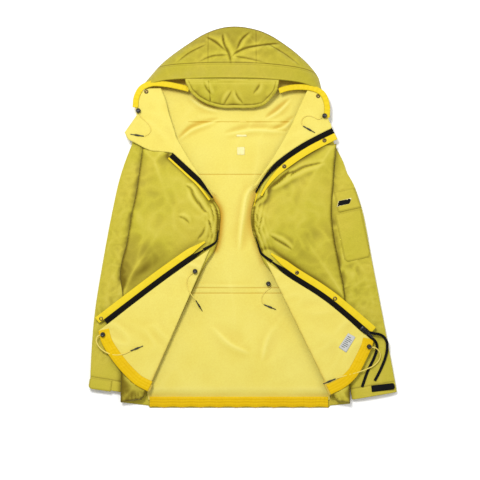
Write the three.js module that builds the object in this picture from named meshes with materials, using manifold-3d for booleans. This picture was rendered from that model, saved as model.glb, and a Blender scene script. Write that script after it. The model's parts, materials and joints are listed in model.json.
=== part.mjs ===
// Hardshell jacket, size L, laid on its back with the front open and the lower fronts turned out.
// Millimetres, +Z up, wearer's head towards +Y. The origin is the bottom centre of the box.
import * as THREE from 'three';
import { mergeVertices } from 'three/addons/utils/BufferGeometryUtils.js';
import Module from 'manifold-3d';

const wasm = await Module();
wasm.setup();

// Driving dimensions. Layers lie on each other from the floor up.
const CLOTH = 2.5; // one panel: face fabric, membrane, lining and the air between them
const GAP = 0.3; // clearance between touching pieces
const SLEEVE_HEIGHT = 24; // a sleeve lying flat, at the armhole
const CUFF_HEIGHT = 20;
const FRONT_LEVEL = 27.5; // underside of the fronts, which lie over the sleeves
const TURNED_LEVEL = 31.5; // underside of all that is turned out over the fronts
const TURNED_TOP = TURNED_LEVEL + CLOTH;
const LINING_TOP = 2 * CLOTH + GAP;
const CHEST_FULLNESS = 16;
const CHEST_RADIUS = 88;
const CROWN_WALL = 2.5;
const CROWN_ROUNDNESS = 0.8; // below 1 the crown rises more steeply from the floor
const VISOR_WALL = 3;
const ZIP_WIDTH = 14;
const ZIP_THICKNESS = 3.4;
const PLACKET_WIDTH = 18;
const SEAM = ZIP_WIDTH / 2 + 0.8; // from the middle of a zip to the panel sewn beside it
const HEM_CORD = 3.3;
const THIN_CORD = 2.2;
const LOCK_RADIUS = 6.5;
const LOCK_CORD_LEVEL = 2.9; // height of the cord hole above the foot of a lock
const RIBBON_WIDTH = 6;
const RIBBON_THICKNESS = 1.2;

// The lower fronts fold along these lines, from the waist down to the hem.
const LEFT_FOLD = [[-75, -84], [-262, -482]];
const RIGHT_FOLD = [[56, -127], [239, -489]];
const STRAIGHT = [0, 0.06, 0.5, 0.94, 1]; // points along a fold that keep a smooth edge straight there
// The zip slider parks at the lower end of the right zip and runs up its straight stretch.
const SLIDER_PARK = [331, -310];
const SLIDER_ANGLE = -0.705; // direction of the lower end of the zip, radians from +X

const fabric = (color, roughness = 0.6) => new THREE.MeshStandardMaterial({ color, roughness, metalness: 0 });
const material = {
  shell: fabric(0xc9be52),
  lining: fabric(0xf6e06a, 0.5),
  facing: fabric(0xf2cf2a, 0.55),
  zip: fabric(0x1b1a17),
  cord: fabric(0xf3e58a, 0.7),
  webbing: fabric(0x17171a, 0.75),
  plastic: fabric(0x111111, 0.4),
  snap: new THREE.MeshStandardMaterial({ color: 0x5a4a2a, roughness: 0.35, metalness: 0.9 }),
  slider: new THREE.MeshStandardMaterial({ color: 0x141414, roughness: 0.35, metalness: 0.6 }),
};

const jacket = new THREE.Group();

function add(name, geometry, finish, parent = jacket) {
  const mesh = new THREE.Mesh(geometry, finish);
  mesh.name = name;
  parent.add(mesh);
  return mesh;
}

const place = (x, y, z) => new THREE.Vector3(x, y, z);
const lerp = THREE.MathUtils.lerp;
const level = (z, points) => points.map(([x, y]) => [x, y, z]);
const curve = (points) => new THREE.CatmullRomCurve3(points.map((p) => place(...p)), false, 'centripetal');

// The closed solid between two surfaces, inner(u, v) and outer(u, v), u and v from 0 to 1.
// With wrap, u runs once round a tube that is open at both ends.
function shell(inner, outer, columns, rows, wrap = false) {
  const across = wrap ? columns : columns + 1;
  const points = [];
  for (const surface of [inner, outer]) {
    for (let r = 0; r <= rows; r += 1) {
      for (let c = 0; c < across; c += 1) points.push(surface(c / columns, r / rows));
    }
  }
  const low = (c, r) => r * across + (c % across);
  const high = (c, r) => points.length / 2 + low(c, r);
  const index = [];
  const quad = (a, b, c, d) => index.push(a, b, c, a, c, d);
  for (let r = 0; r < rows; r += 1) {
    for (let c = 0; c < columns; c += 1) {
      quad(high(c, r), high(c + 1, r), high(c + 1, r + 1), high(c, r + 1));
      quad(low(c, r), low(c, r + 1), low(c + 1, r + 1), low(c + 1, r));
    }
    if (!wrap) {
      quad(low(0, r + 1), low(0, r), high(0, r), high(0, r + 1));
      quad(low(columns, r), low(columns, r + 1), high(columns, r + 1), high(columns, r));
    }
  }
  for (let c = 0; c < columns; c += 1) {
    quad(low(c, 0), low(c + 1, 0), high(c + 1, 0), high(c, 0));
    quad(low(c + 1, rows), low(c, rows), high(c, rows), high(c + 1, rows));
  }
  const geometry = new THREE.BufferGeometry().setFromPoints(points);
  geometry.setIndex(index);
  return geometry;
}

// A sheet ruled between two rails and thickening upwards; lift(x, y) raises it.
// Looking along the rails, b lies to the left of a.
function sheet(railA, railB, columns, rows, thickness = CLOTH, lift = () => 0) {
  const a = curve(railA);
  const b = curve(railB);
  const raised = (extra) => (u, v) => {
    const point = a.getPointAt(1 - v).lerp(b.getPointAt(1 - v), u);
    point.z += lift(point.x, point.y) + extra;
    return point;
  };
  return shell(raised(0), raised(thickness), columns, rows);
}

// The line beside a plan line, at a distance to its left.
function beside(points, distance) {
  const line = curve(level(0, points));
  return points.map((unused, i) => {
    const at = line.getPoint(i / (points.length - 1));
    const tangent = line.getTangent(i / (points.length - 1));
    return [at.x - tangent.y * distance, at.y + tangent.x * distance];
  });
}

// A flat strip along a plan line, between two distances to its left.
function strip(points, from, to, thickness) {
  return slab([
    beside(points, from),
    [beside(points, from).at(-1), beside(points, to).at(-1)],
    beside(points, to).reverse(),
    [beside(points, to)[0], beside(points, from)[0]],
  ], TURNED_LEVEL, thickness);
}

const zip = (points) => strip(points, -ZIP_WIDTH / 2, ZIP_WIDTH / 2, ZIP_THICKNESS);

const extruded = (shape, depth) => new THREE.ExtrudeGeometry(shape, { depth, bevelEnabled: false });

// A flat panel lying at a given height, cut to a smooth outline between sharp corners.
function slab(stretches, height, thickness = CLOTH) {
  const outline = stretches.flatMap((points) => {
    const line = curve(level(0, points));
    const count = points.length === 2 ? 1 : points.length + 3;
    return line.getPoints(count).slice(0, -1).map((p) => new THREE.Vector2(p.x, p.y));
  });
  return extruded(new THREE.Shape(outline), thickness).translate(0, 0, height);
}

const lathe = (profile, segments) =>
  new THREE.LatheGeometry(profile.map(([r, z]) => new THREE.Vector2(r, z)), segments).rotateX(Math.PI / 2);

function solid(geometry) {
  const plain = geometry.clone();
  plain.deleteAttribute('normal');
  plain.deleteAttribute('uv');
  const merged = mergeVertices(plain, 1e-3);
  const triVerts = new Uint32Array(merged.index.array);
  const vertProperties = new Float32Array(merged.attributes.position.array);
  return new wasm.Manifold(new wasm.Mesh({ numProp: 3, vertProperties, triVerts }));
}

function fromSolid(body) {
  const { vertProperties, triVerts } = body.getMesh();
  const geometry = new THREE.BufferGeometry();
  geometry.setAttribute('position', new THREE.BufferAttribute(new Float32Array(vertProperties), 3));
  geometry.setIndex(Array.from(triVerts));
  return geometry;
}

// ---- Body ----

const BACK_OUTLINE = [
  [[-206, 206], [-203, 110], [-217, 6], [-243, -132], [-274, -284], [-306, -422], [-317, -488]],
  [[-317, -488], [-336, -492]],
  [[-336, -492], [-338, -511]],
  [[-338, -511], [-262, -520]],
  [[-262, -520], [-258, -526]],
  [[-258, -526], [235, -526]],
  [[235, -526], [240, -520]],
  [[240, -520], [294, -515]],
  [[294, -515], [290, -480], [268, -380], [233, -229], [198, -110], [172, 34], [156, 80], [150, 135],
    [158, 206]],
  [[158, 206], [-206, 206]],
];
const LINING_OUTLINE = [
  [[-190, 204], [-190, 110], [-205, 6], [-230, -132], [-258, -284], [-272, -420], [-262, -505]],
  [[-262, -505], [238, -505]],
  [[238, -505], [248, -400], [215, -229], [182, -110], [158, 34], [142, 90], [142, 204]],
  [[142, 204], [-190, 204]],
];
add('back_shell', slab(BACK_OUTLINE, 0), material.shell);
add('back_lining', slab(LINING_OUTLINE, CLOTH + GAP), material.lining);

const alongFold = ([a, b]) => STRAIGHT.map((t) => [lerp(a[0], b[0], t), lerp(a[1], b[1], t)]);

// A front swells over the chest, where nothing is turned out over it.
const swell = (x0, y0) => (x, y) => {
  const r = Math.hypot(x - x0, y - y0) / CHEST_RADIUS;
  return r < 1 ? CHEST_FULLNESS * (1 - r * r) ** 2 : 0;
};
const LEFT_FRONT_EDGE = [
  [-186, 200], [-139, 126], [-92, 62], [-66, 22], [-64, -28], ...alongFold(LEFT_FOLD), [-268, -500],
];
const LEFT_SIDE = [
  [-277, 188], [-293, 75], [-307, 6], [-321, -77], [-338, -146], [-330, -229], [-332, -350], [-336, -442],
  [-337, -508],
];
const RIGHT_FRONT_EDGE = [
  [116, 200], [96, 182], [56, 106], [30, 47], [20, -6], [28, -50], ...alongFold(RIGHT_FOLD), [247, -503],
];
const RIGHT_SIDE = [
  [256, 200], [250, 130], [245, 60], [243, 0], [250, -60], [262, -125], [277, -200], [285, -300], [290, -400],
  [293, -511],
];
add('left_front_shell',
  sheet(level(FRONT_LEVEL, LEFT_SIDE), level(FRONT_LEVEL, LEFT_FRONT_EDGE), 10, 18, CLOTH, swell(-205, 0)),
  material.shell);
add('right_front_shell',
  sheet(level(FRONT_LEVEL, RIGHT_FRONT_EDGE), level(FRONT_LEVEL, RIGHT_SIDE), 10, 18, CLOTH, swell(148, 10)),
  material.shell);

// Upper fronts turned out over the chest, with the zip along their free edge.
const LEFT_ZIP_UPPER = [[-198, 169], [-147, 122], [-117, 94], [-84, 52]];
const RIGHT_ZIP_UPPER = [[246, 236], [170, 197], [93, 143], [52, 97], [34, 66]];
const LEFT_LAPEL = [
  beside(LEFT_ZIP_UPPER, SEAM),
  [[-73, 62], [-93, 78], [-136, 138], [-181, 212]],
  [[-181, 212], [-316, 212]],
  [[-316, 212], [-298, 203], [-252, 181], [-206, 179]],
];
const RIGHT_LAPEL = [
  beside(RIGHT_ZIP_UPPER, -SEAM),
  [[23, 79], [54, 122], [94, 182], [112, 213]],
  [[112, 213], [204, 235]],
  [[204, 235], [240, 250]],
];
add('left_lapel', slab(LEFT_LAPEL, TURNED_LEVEL), material.lining);
add('right_lapel', slab(RIGHT_LAPEL, TURNED_LEVEL), material.lining);
add('left_zip_upper', zip(LEFT_ZIP_UPPER), material.zip);
add('right_zip_upper', zip(RIGHT_ZIP_UPPER), material.zip);
add('right_placket_upper', strip(RIGHT_ZIP_UPPER, SEAM, SEAM + PLACKET_WIDTH, CLOTH), material.facing);

// ---- Hood ----

const HOOD_BACK = [
  [[-196, 222], [-232, 252], [-276, 300], [-280, 335], [-254, 372], [-208, 416], [-144, 462], [-84, 496],
    [-30, 512], [22, 504], [60, 490], [98, 468], [136, 440], [170, 410], [192, 382], [202, 350], [218, 310],
    [212, 280], [180, 250], [150, 222]],
  [[150, 222], [-196, 222]],
];
add('hood_back', slab(HOOD_BACK, 0), material.shell);

// The crown rises from its outline on the floor to the brim, like a quarter of a melon.
const CROWN_OUTLINE = curve(level(0, [
  [-270, 368], [-221, 423], [-153, 474], [-95, 508], [-36, 523], [26, 517], [68, 502], [106, 479], [146, 449],
  [180, 417], [204, 385], [213, 352],
]));
const BRIM = curve([
  [-266, 363, 30], [-222, 374, 44], [-130, 379, 56], [-28, 380, 60], [74, 377, 56], [165, 367, 44],
  [209, 350, 30],
]);
const crown = (wall) => (u, v) => {
  const foot = CROWN_OUTLINE.getPointAt(1 - u);
  const brim = BRIM.getPointAt(1 - u);
  const rise = Math.sin((v * Math.PI) / 2) ** CROWN_ROUNDNESS;
  const tangent = CROWN_OUTLINE.getTangentAt(1 - u);
  const outward = place(-tangent.y, tangent.x, 0);
  const point = foot.clone().lerp(brim, v);
  point.z = lerp(foot.z, brim.z, rise);
  return point.addScaledVector(outward, wall * (1 - v)).add(place(0, 0, wall * v));
};
add('hood_crown', shell(crown(0), crown(CROWN_WALL), 18, 6), material.shell);

// Sides of the hood's face opening, turned out with the lining up.
const LEFT_HOOD_SIDE = [
  [[-226, 352], [-262, 350]],
  [[-262, 350], [-290, 332], [-296, 301], [-292, 278]],
  [[-292, 278], [-325, 231]],
  [[-325, 231], [-318, 216]],
  [[-318, 216], [-183, 216]],
  [[-183, 216], [-192, 246], [-204, 284], [-213, 320], [-226, 352]],
];
const RIGHT_HOOD_SIDE = [
  [[175, 346], [206, 338]],
  [[206, 338], [229, 317], [231, 284], [235, 262], [240, 254]],
  [[240, 254], [204, 239]],
  [[204, 239], [114, 217]],
  [[114, 217], [134, 256], [156, 306], [175, 346]],
];
add('left_hood_side', slab(LEFT_HOOD_SIDE, TURNED_LEVEL), material.lining);
add('right_hood_side', slab(RIGHT_HOOD_SIDE, TURNED_LEVEL), material.lining);

// The visor hangs from the brim into the hood, its free edge a shallow curve.
const VISOR_HINGE_Y = 371;
add('hood_visor',
  sheet(
    [[-147, 345, 43], [-118, 318, 32], [-62, 299, 26], [-28, 298, 26], [30, 299, 26], [60, 308, 29],
      [92, 345, 43]],
    [[-160, VISOR_HINGE_Y, 51], [-95, VISOR_HINGE_Y + 1, 52], [-28, VISOR_HINGE_Y + 2, 53],
      [40, VISOR_HINGE_Y + 1, 52], [98, VISOR_HINGE_Y, 51]],
    4, 10, VISOR_WALL),
  material.shell);

// Hanger loop at the neck seam: a narrow tape, arched clear of the lining.
const LOOP_HALF = 23;
const LOOP_RISE = 6;
const LOOP_TAPE = 1.5;
const LOOP_FOOT = 3;
const LOOP_WIDTH = 4;
const arch = (reach, rise) => new THREE.EllipseCurve(0, 0, reach, rise, 0, Math.PI).getPoints(10);
const loopShape = new THREE.Shape([
  ...arch(LOOP_HALF, LOOP_RISE + LOOP_TAPE),
  ...arch(LOOP_HALF - LOOP_FOOT, LOOP_RISE).reverse(),
]);
const hangerLoop = add('hanger_loop', extruded(loopShape, LOOP_WIDTH), material.cord);
hangerLoop.rotation.set(Math.PI / 2, 0, 0);
hangerLoop.position.set(-5, 264, CLOTH + GAP);

// ---- Lower fronts, turned out ----

const LEFT_ZIP_LOWER = [[-96, -82], [-153, -120], [-208, -159], [-262, -199], [-377, -287]];
const RIGHT_ZIP_LOWER = [[66, -114], [134, -163], [192, -199], [243, -235], [337, -315]];
const LEFT_PLACKET_LOWER = [...LEFT_ZIP_LOWER.slice(0, -1), [-390, -297]];
const RIGHT_PLACKET_LOWER = [...RIGHT_ZIP_LOWER.slice(0, -1), [346, -322.7]];
// A point at a distance along a fold from its upper end, and to the left of it.
function besideFold([[x0, y0], [x1, y1]], along, across) {
  const angle = Math.atan2(y1 - y0, x1 - x0);
  return [
    x0 + along * Math.cos(angle) - across * Math.sin(angle),
    y0 + along * Math.sin(angle) + across * Math.cos(angle),
  ];
}
const FOLD_CLEARANCE = 2;
// Where each turned-out flap ends and starts along its fold.
const LEFT_FLAP_RUN = [436, 16];
const RIGHT_FLAP_RUN = [404, 10];
const LEFT_FLAP = [
  beside(LEFT_ZIP_LOWER, SEAM),
  [[-372, -294], [-397, -312]],
  [[-397, -312], [-388, -345], [-362, -388], [-322, -436], [-267, -484]],
  LEFT_FLAP_RUN.map((along) => besideFold(LEFT_FOLD, along, -FOLD_CLEARANCE)),
];
const RIGHT_FLAP = [
  beside(RIGHT_ZIP_LOWER, -SEAM),
  [[333, -322], [350, -329]],
  [[350, -329], [357, -336]],
  [[357, -336], [352, -357], [335, -394], [308, -440], [247, -492]],
  RIGHT_FLAP_RUN.map((along) => besideFold(RIGHT_FOLD, along, FOLD_CLEARANCE)),
];
add('left_flap', slab(LEFT_FLAP, TURNED_LEVEL), material.lining);
add('right_flap', slab(RIGHT_FLAP, TURNED_LEVEL), material.lining);
add('left_zip_lower', zip(LEFT_ZIP_LOWER), material.zip);
add('right_zip_lower', zip(RIGHT_ZIP_LOWER), material.zip);
add('left_placket_lower', strip(LEFT_PLACKET_LOWER, -SEAM - PLACKET_WIDTH, -SEAM, CLOTH), material.facing);
add('right_placket_lower', strip(RIGHT_PLACKET_LOWER, SEAM, SEAM + PLACKET_WIDTH, CLOTH), material.facing);

// ---- Sleeves ----

// A sleeve is a flattened tube, open at both ends. Its line gives x, y and half the width in plan.
const FLATNESS = 0.55; // below 1 squares the section up towards a flattened tube
const SLEEVE_COLUMNS = 16;
const rounded = (t) => Math.sign(t) * Math.abs(t) ** FLATNESS;
function sleeveTube(line, inset) {
  return (u, v) => {
    const at = line.getPointAt(v);
    const travel = line.getTangentAt(v);
    const side = place(travel.y, -travel.x, 0).normalize();
    const height = lerp(SLEEVE_HEIGHT, CUFF_HEIGHT, v);
    const turn = -2 * Math.PI * u;
    const width = (at.z - inset) * rounded(Math.cos(turn));
    const rise = (height / 2 - inset) * rounded(Math.sin(turn));
    return place(at.x + side.x * width, at.y + side.y * width, height / 2 + rise);
  };
}
const LEFT_SLEEVE = curve([
  [-264, 190, 44], [-277, 110, 60], [-294, 6, 67], [-319, -132, 68], [-345, -284, 66], [-367, -422, 54],
  [-376, -475, 47],
]);
const RIGHT_SLEEVE = curve([
  [208, 190, 44], [218, 135, 60], [232, 80, 64], [252, 34, 68], [271, -58, 71], [282, -110, 69],
  [308, -229, 66],
  [341, -380, 62], [361, -492, 62.5],
]);
function addSleeve(name, line, rows) {
  const tube = shell(sleeveTube(line, CLOTH), sleeveTube(line, 0), SLEEVE_COLUMNS, rows, true);
  add(name, tube, material.shell);
}
addSleeve('left_sleeve', LEFT_SLEEVE, 12);
addSleeve('right_sleeve', RIGHT_SLEEVE, 14);

// A flat tab or patch in its own frame: it starts at the hinge and reaches along +X.
function plate(length, width, thickness, corner) {
  const shape = new THREE.Shape();
  shape.moveTo(0, -width / 2);
  shape.lineTo(length - corner, -width / 2);
  shape.lineTo(length, -width / 2 + corner);
  shape.lineTo(length, width / 2 - corner);
  shape.lineTo(length - corner, width / 2);
  shape.lineTo(0, width / 2);
  return extruded(shape, thickness);
}
function addPlate(name, size, at, angle, finish) {
  const mesh = add(name, plate(...size), finish);
  mesh.position.set(...at);
  mesh.rotation.z = angle;
}
const CUFF_TAB_LEVEL = CUFF_HEIGHT + 1;
const POCKET_LEVEL = SLEEVE_HEIGHT;
const POCKET_ANGLE = -1.36; // the pocket and its flap hang down along the sleeve
addPlate('right_cuff_tab', [64, 18, 2.2, 4], [352, -472, CUFF_TAB_LEVEL], 0.12, material.webbing);
addPlate('left_cuff_tab', [62, 32, 2.2, 6], [-362, -464, CUFF_TAB_LEVEL], Math.PI - 0.14, material.shell);
addPlate('sleeve_pocket', [136, 74, 1.6, 8], [287, 16, POCKET_LEVEL], POCKET_ANGLE, material.shell);
addPlate('pocket_flap', [58, 72, 1.4, 3], [284, 77, POCKET_LEVEL + 1.9], POCKET_ANGLE, material.shell);

// ---- Snaps, cord locks and cords ----

const SNAP_RADIUS = 5.5;
const SNAP_HEIGHT = 2.2;
const snapProfile = [
  [0, 0], [SNAP_RADIUS, 0], [SNAP_RADIUS, 1.2], [4.4, SNAP_HEIGHT], [2.8, SNAP_HEIGHT], [2.2, 1.1], [0, 1.1],
];
const SNAPS = {
  snap_upper_1: [112, 138],
  snap_upper_2: [222, 209],
  snap_lower_left: [-389, -279],
  snap_lower_right_1: [147, -153],
  snap_lower_right_2: [251, -224],
};
for (const [name, [x, y]] of Object.entries(SNAPS)) {
  add(name, lathe(snapProfile, 12), material.snap).position.set(x, y, TURNED_TOP + GAP);
}

// A cord lock stands on the cloth: a barrel with a cord hole through it and a sprung plunger in its bore.
const LOCK_HEIGHT = 13;
const BORE_RADIUS = 4.6;
const BORE_FLOOR = 5.6;
const PLUNGER_RADIUS = 4.3;
const PLUNGER_TRAVEL = 3;
const PLUNGER_TOP = 17;
const lockProfile = [
  [0, 0], [5, 0], [LOCK_RADIUS, 1.5], [LOCK_RADIUS, 10], [5.8, LOCK_HEIGHT], [BORE_RADIUS, LOCK_HEIGHT],
  [BORE_RADIUS, BORE_FLOOR], [0, BORE_FLOOR],
];
const plungerFoot = BORE_FLOOR + GAP + PLUNGER_TRAVEL;
const plungerProfile = [
  [0, plungerFoot], [PLUNGER_RADIUS, plungerFoot], [PLUNGER_RADIUS, PLUNGER_TOP - 1.5], [3.2, PLUNGER_TOP],
  [0, PLUNGER_TOP],
];
function addLock(set, [x, y, foot], angle, diameter) {
  const hole = new THREE.CylinderGeometry(diameter / 2 + GAP, diameter / 2 + GAP, 3 * LOCK_RADIUS, 10);
  hole.rotateZ(Math.PI / 2).translate(0, 0, LOCK_CORD_LEVEL);
  const body = fromSolid(solid(lathe(lockProfile, 16)).subtract(solid(hole)));
  const lock = add(set + '_lock', body, material.plastic);
  lock.position.set(x, y, foot);
  lock.rotation.z = angle;
  add(set + '_plunger', lathe(plungerProfile, 14), material.plastic).position.set(x, y, foot);
}

// A cord is a round tube along a smooth route, and ends in a moulded tip with a swollen middle.
const SECTION = 8;
function addCord(name, route, diameter, steps) {
  const outline = new THREE.EllipseCurve(0, 0, diameter / 2, diameter / 2).getPoints(SECTION).slice(0, -1);
  const extrudePath = curve(route);
  const shape = new THREE.Shape(outline);
  const geometry = new THREE.ExtrudeGeometry(shape, { extrudePath, steps, bevelEnabled: false });
  add(name, geometry, material.cord);
}
function addTip(name, from, to) {
  const start = place(...from);
  const along = place(...to).sub(start);
  const length = along.length();
  const profile = [
    [0, 0], [1.5, 0], [1.5, length * 0.3], [2.6, length * 0.42], [2.6, length * 0.6], [1.2, length * 0.72],
    [1.2, length], [0, length],
  ];
  const tip = add(name, lathe(profile, 10), material.plastic);
  tip.quaternion.setFromUnitVectors(place(0, 0, 1), along.normalize());
  tip.position.copy(start);
}
// Lock foot, cord route from the lock's side to the tip, and the tip's two ends.
const CORD_SETS = {
  hood_left: {
    lock: [-287, 290, TURNED_TOP + GAP],
    route: [[-284, 283, 37.2], [-281, 275, 36], [-268, 262, 35.5], [-256, 249, 35.5], [-253, 237, 35.5],
      [-260, 226, 35.5], [-271, 220.5, 36.5]],
    tip: [[-272.5, 220.6, 36.9], [-309, 226, 36.9]],
    diameter: THIN_CORD,
    steps: 13,
  },
  hood_right: {
    lock: [222, 276, TURNED_TOP + GAP],
    route: [[215.5, 272, 37.2], [206, 267, 36], [190, 274, 35.5], [173, 276, 35.5], [161, 267, 35.5],
      [160, 256, 35.5], [163, 249, 36.5]],
    tip: [[164, 248, 36.9], [196, 230, 36.9]],
    diameter: THIN_CORD,
    steps: 13,
  },
  waist_left: {
    lock: [-132, -149, TURNED_TOP + GAP],
    route: [[-137.5, -153.5, 37.2], [-146, -160, 36], [-153, -171, 35.5], [-154, -185, 35.5],
      [-148, -204, 35.5],
      [-138, -219, 34.5], [-131, -228, 28]],
    tip: [[-130, -229.5, 26.8], [-113, -259, 9.5]],
    diameter: THIN_CORD,
    steps: 13,
  },
  waist_right: {
    lock: [69, -184, LINING_TOP + GAP],
    route: [[75.5, -186.5, 8.5], [78, -191, 7.5], [73, -197, 6.8], [61, -206, 6.8], [52, -219, 6.8],
      [51, -231, 6.8], [56, -240.5, 8]],
    tip: [[57.2, -241.5, 8.2], [90, -255, 8.2]],
    diameter: THIN_CORD,
    steps: 10,
  },
  hem_left: {
    lock: [-384, -322, TURNED_TOP + GAP],
    route: [[-390.5, -323.5, 37.2], [-398, -327, 37], [-402, -337, 36.5], [-397, -352, 36.2],
      [-383, -366, 36],
      [-365, -375, 36], [-346, -378, 36], [-327, -375, 36], [-310, -367.5, 36.4]],
    tip: [[-308.5, -366.8, 36.9], [-274, -353, 36.9]],
    diameter: HEM_CORD,
    steps: 15,
  },
  hem_right: {
    lock: [344, -355, TURNED_TOP + GAP],
    route: [[350.8, -356.5, 37.2], [360, -358, 36], [371, -367, 29], [376, -381, 24.7], [370, -396, 24.6],
      [356, -409, 26], [338, -417, 31], [318, -424, 36], [288, -432, 36], [254, -442.3, 36.4]],
    tip: [[252.3, -443, 36.9], [218, -457, 36.9]],
    diameter: HEM_CORD,
    steps: 17,
  },
};
for (const [set, { lock, route, tip, diameter, steps }] of Object.entries(CORD_SETS)) {
  addLock(set, lock, Math.atan2(route[0][1] - lock[1], route[0][0] - lock[0]), diameter);
  addCord(set + '_cord', route, diameter, steps);
  addTip(set + '_cord_end', ...tip);
}

// ---- Zip slider, its pull, and two webbing ribbons ----

const SLIDER_WIDTH = 12;
const BAIL_WIDTH = 3;
const PULL_WIDTH = 7;
const PULL_THICKNESS = 1.4;
const PULL_LEVEL = 5.6;
const outlineOf = (points) => points.map(([x, y]) => new THREE.Vector2(x, y));
// Side views of the slider, along the zip and up: the body, and the bail standing on it.
const SLIDER_SIDE = [[-12, 0], [12, 0], [12, 3], [8, 4.5], [-8, 4.5], [-12, 3]];
const BAIL_SIDE = [
  [-6.5, 4], [-3.5, 4], [-3.5, 8], [3.5, 8], [3.5, 4], [6.5, 4], [6.5, 8.5], [5.5, 9.5], [-5.5, 9.5],
  [-6.5, 8.5],
];
const upright = (side, width) => {
  const block = extruded(new THREE.Shape(outlineOf(side)), width);
  return block.translate(0, 0, -width / 2).rotateX(Math.PI / 2);
};
const slider = new THREE.Group();
slider.position.set(...SLIDER_PARK, TURNED_LEVEL + ZIP_THICKNESS + GAP);
slider.rotation.z = SLIDER_ANGLE;
jacket.add(slider);
const sliderBody = solid(upright(SLIDER_SIDE, SLIDER_WIDTH)).add(solid(upright(BAIL_SIDE, BAIL_WIDTH)));
add('zip_slider', fromSolid(sliderBody), material.slider, slider);

// The pull is a tab whose slot goes round the leg of the bail.
const pullShape = new THREE.Shape(outlineOf([[0.5, -3.6], [9, -3.6], [12, -PULL_WIDTH / 2], [30, -2.6],
  [30, 2.6],
  [12, PULL_WIDTH / 2], [9, 3.6], [0.5, 3.6]]));
pullShape.holes.push(new THREE.Path(outlineOf([[2.5, -2.2], [2.5, 2.2], [8, 2.2], [8, -2.2]])));
const pull = extruded(pullShape, PULL_THICKNESS);
add('zip_pull', pull.translate(0, 0, PULL_LEVEL), material.slider, slider);

// A ribbon lies flat along its route, which gives the middle of its underside.
function addRibbon(name, route) {
  const line = curve(route);
  const raised = (extra) => (u, v) => {
    const at = line.getPointAt(v);
    const tangent = line.getTangentAt(v);
    const side = place(tangent.y, -tangent.x, 0).normalize();
    return at.addScaledVector(side, (u - 0.5) * RIBBON_WIDTH).add(place(0, 0, extra));
  };
  add(name, shell(raised(0), raised(RIBBON_THICKNESS), 1, 18), material.webbing);
}
const RIBBON_1 = [
  [338.8, -321.2, 36], [349, -330, 36], [359, -338, 35.4], [366, -351, 26], [366, -366, 21.8],
  [359, -387, 21.4],
  [341, -425, 21.4], [326, -467, 21.4],
];
const RIBBON_2 = [
  [344.6, -316.4, 36], [357, -319, 36], [373, -322, 33], [386, -330, 26.5], [394, -344, 22],
  [395, -362, 21.4],
  [390, -386, 21.4], [377, -419, 21.4], [361, -450, 21.4],
];
addRibbon('pull_ribbon_1', RIBBON_1);
addRibbon('pull_ribbon_2', RIBBON_2);

export default jacket;
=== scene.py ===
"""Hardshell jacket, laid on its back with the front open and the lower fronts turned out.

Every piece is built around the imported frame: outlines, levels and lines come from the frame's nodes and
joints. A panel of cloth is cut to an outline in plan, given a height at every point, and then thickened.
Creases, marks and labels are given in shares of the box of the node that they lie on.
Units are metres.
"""
import json
import math

import bmesh
import bpy
import numpy as np
from mathutils import Matrix, Vector
from mathutils.bvhtree import BVHTree
from mathutils.geometry import delaunay_2d_cdt


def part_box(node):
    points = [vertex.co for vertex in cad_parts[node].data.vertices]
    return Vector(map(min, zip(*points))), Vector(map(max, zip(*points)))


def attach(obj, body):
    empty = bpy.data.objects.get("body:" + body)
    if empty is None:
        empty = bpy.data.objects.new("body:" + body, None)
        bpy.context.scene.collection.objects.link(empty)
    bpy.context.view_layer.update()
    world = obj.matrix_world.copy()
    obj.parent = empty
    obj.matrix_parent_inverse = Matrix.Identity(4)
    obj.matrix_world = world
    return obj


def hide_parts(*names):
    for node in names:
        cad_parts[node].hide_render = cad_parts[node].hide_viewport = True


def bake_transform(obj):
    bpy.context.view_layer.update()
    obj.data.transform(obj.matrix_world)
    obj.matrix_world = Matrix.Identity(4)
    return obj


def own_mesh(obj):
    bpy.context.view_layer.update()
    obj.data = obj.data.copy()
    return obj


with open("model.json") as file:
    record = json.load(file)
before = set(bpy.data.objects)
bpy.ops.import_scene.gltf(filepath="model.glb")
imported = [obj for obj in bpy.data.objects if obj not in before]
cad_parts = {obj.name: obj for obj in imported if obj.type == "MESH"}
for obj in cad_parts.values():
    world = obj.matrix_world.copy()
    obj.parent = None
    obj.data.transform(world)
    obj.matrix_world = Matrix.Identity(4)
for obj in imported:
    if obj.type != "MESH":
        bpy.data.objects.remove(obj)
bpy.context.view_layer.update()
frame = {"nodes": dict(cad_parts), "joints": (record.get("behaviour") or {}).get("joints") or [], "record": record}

# Driving dimensions.
MM = 0.001
CLOTH = 1.4 * MM  # thickness of a panel
GRID = 3.6 * MM  # spacing of the points inside a panel
PATCH_GRID = 2.4 * MM  # the same inside a patch or a label
EDGE_STEP = 3.0 * MM  # spacing of the points along an edge
HEM_BAND = 30 * MM
ZIP_WIDTH = 15.5 * MM
ZIP_PITCH = 2.6 * MM
PLACKET_WIDTH = 19 * MM
BRIM_BAND = 40 * MM
RIM_HALF = 8 * MM
RIBBON_WIDTH = 7.0 * MM
RIBBON_THICKNESS = 1.0 * MM
WAIST_LINE = -195 * MM
YOKE_LINE = 117 * MM
NECK_LINE = 262 * MM


# ---- Numbers over the plan ----

def step(low, high, value):
    """0 below low, 1 above high, smooth between them."""
    t = np.clip((np.asarray(value, float) - low) / (high - low), 0, 1)
    return t * t * (3 - 2 * t)


def bell(value, width, power=2):
    """1 where value is 0, falling smoothly away on both sides of it over this width."""
    return np.exp(-((value / width) ** power))


def rounded(value, power=2):
    """The height of a rounded section: 1 in its middle, 0 where value is 1 or -1."""
    return np.sqrt(np.clip(1 - value**power, 0, 1))


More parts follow.
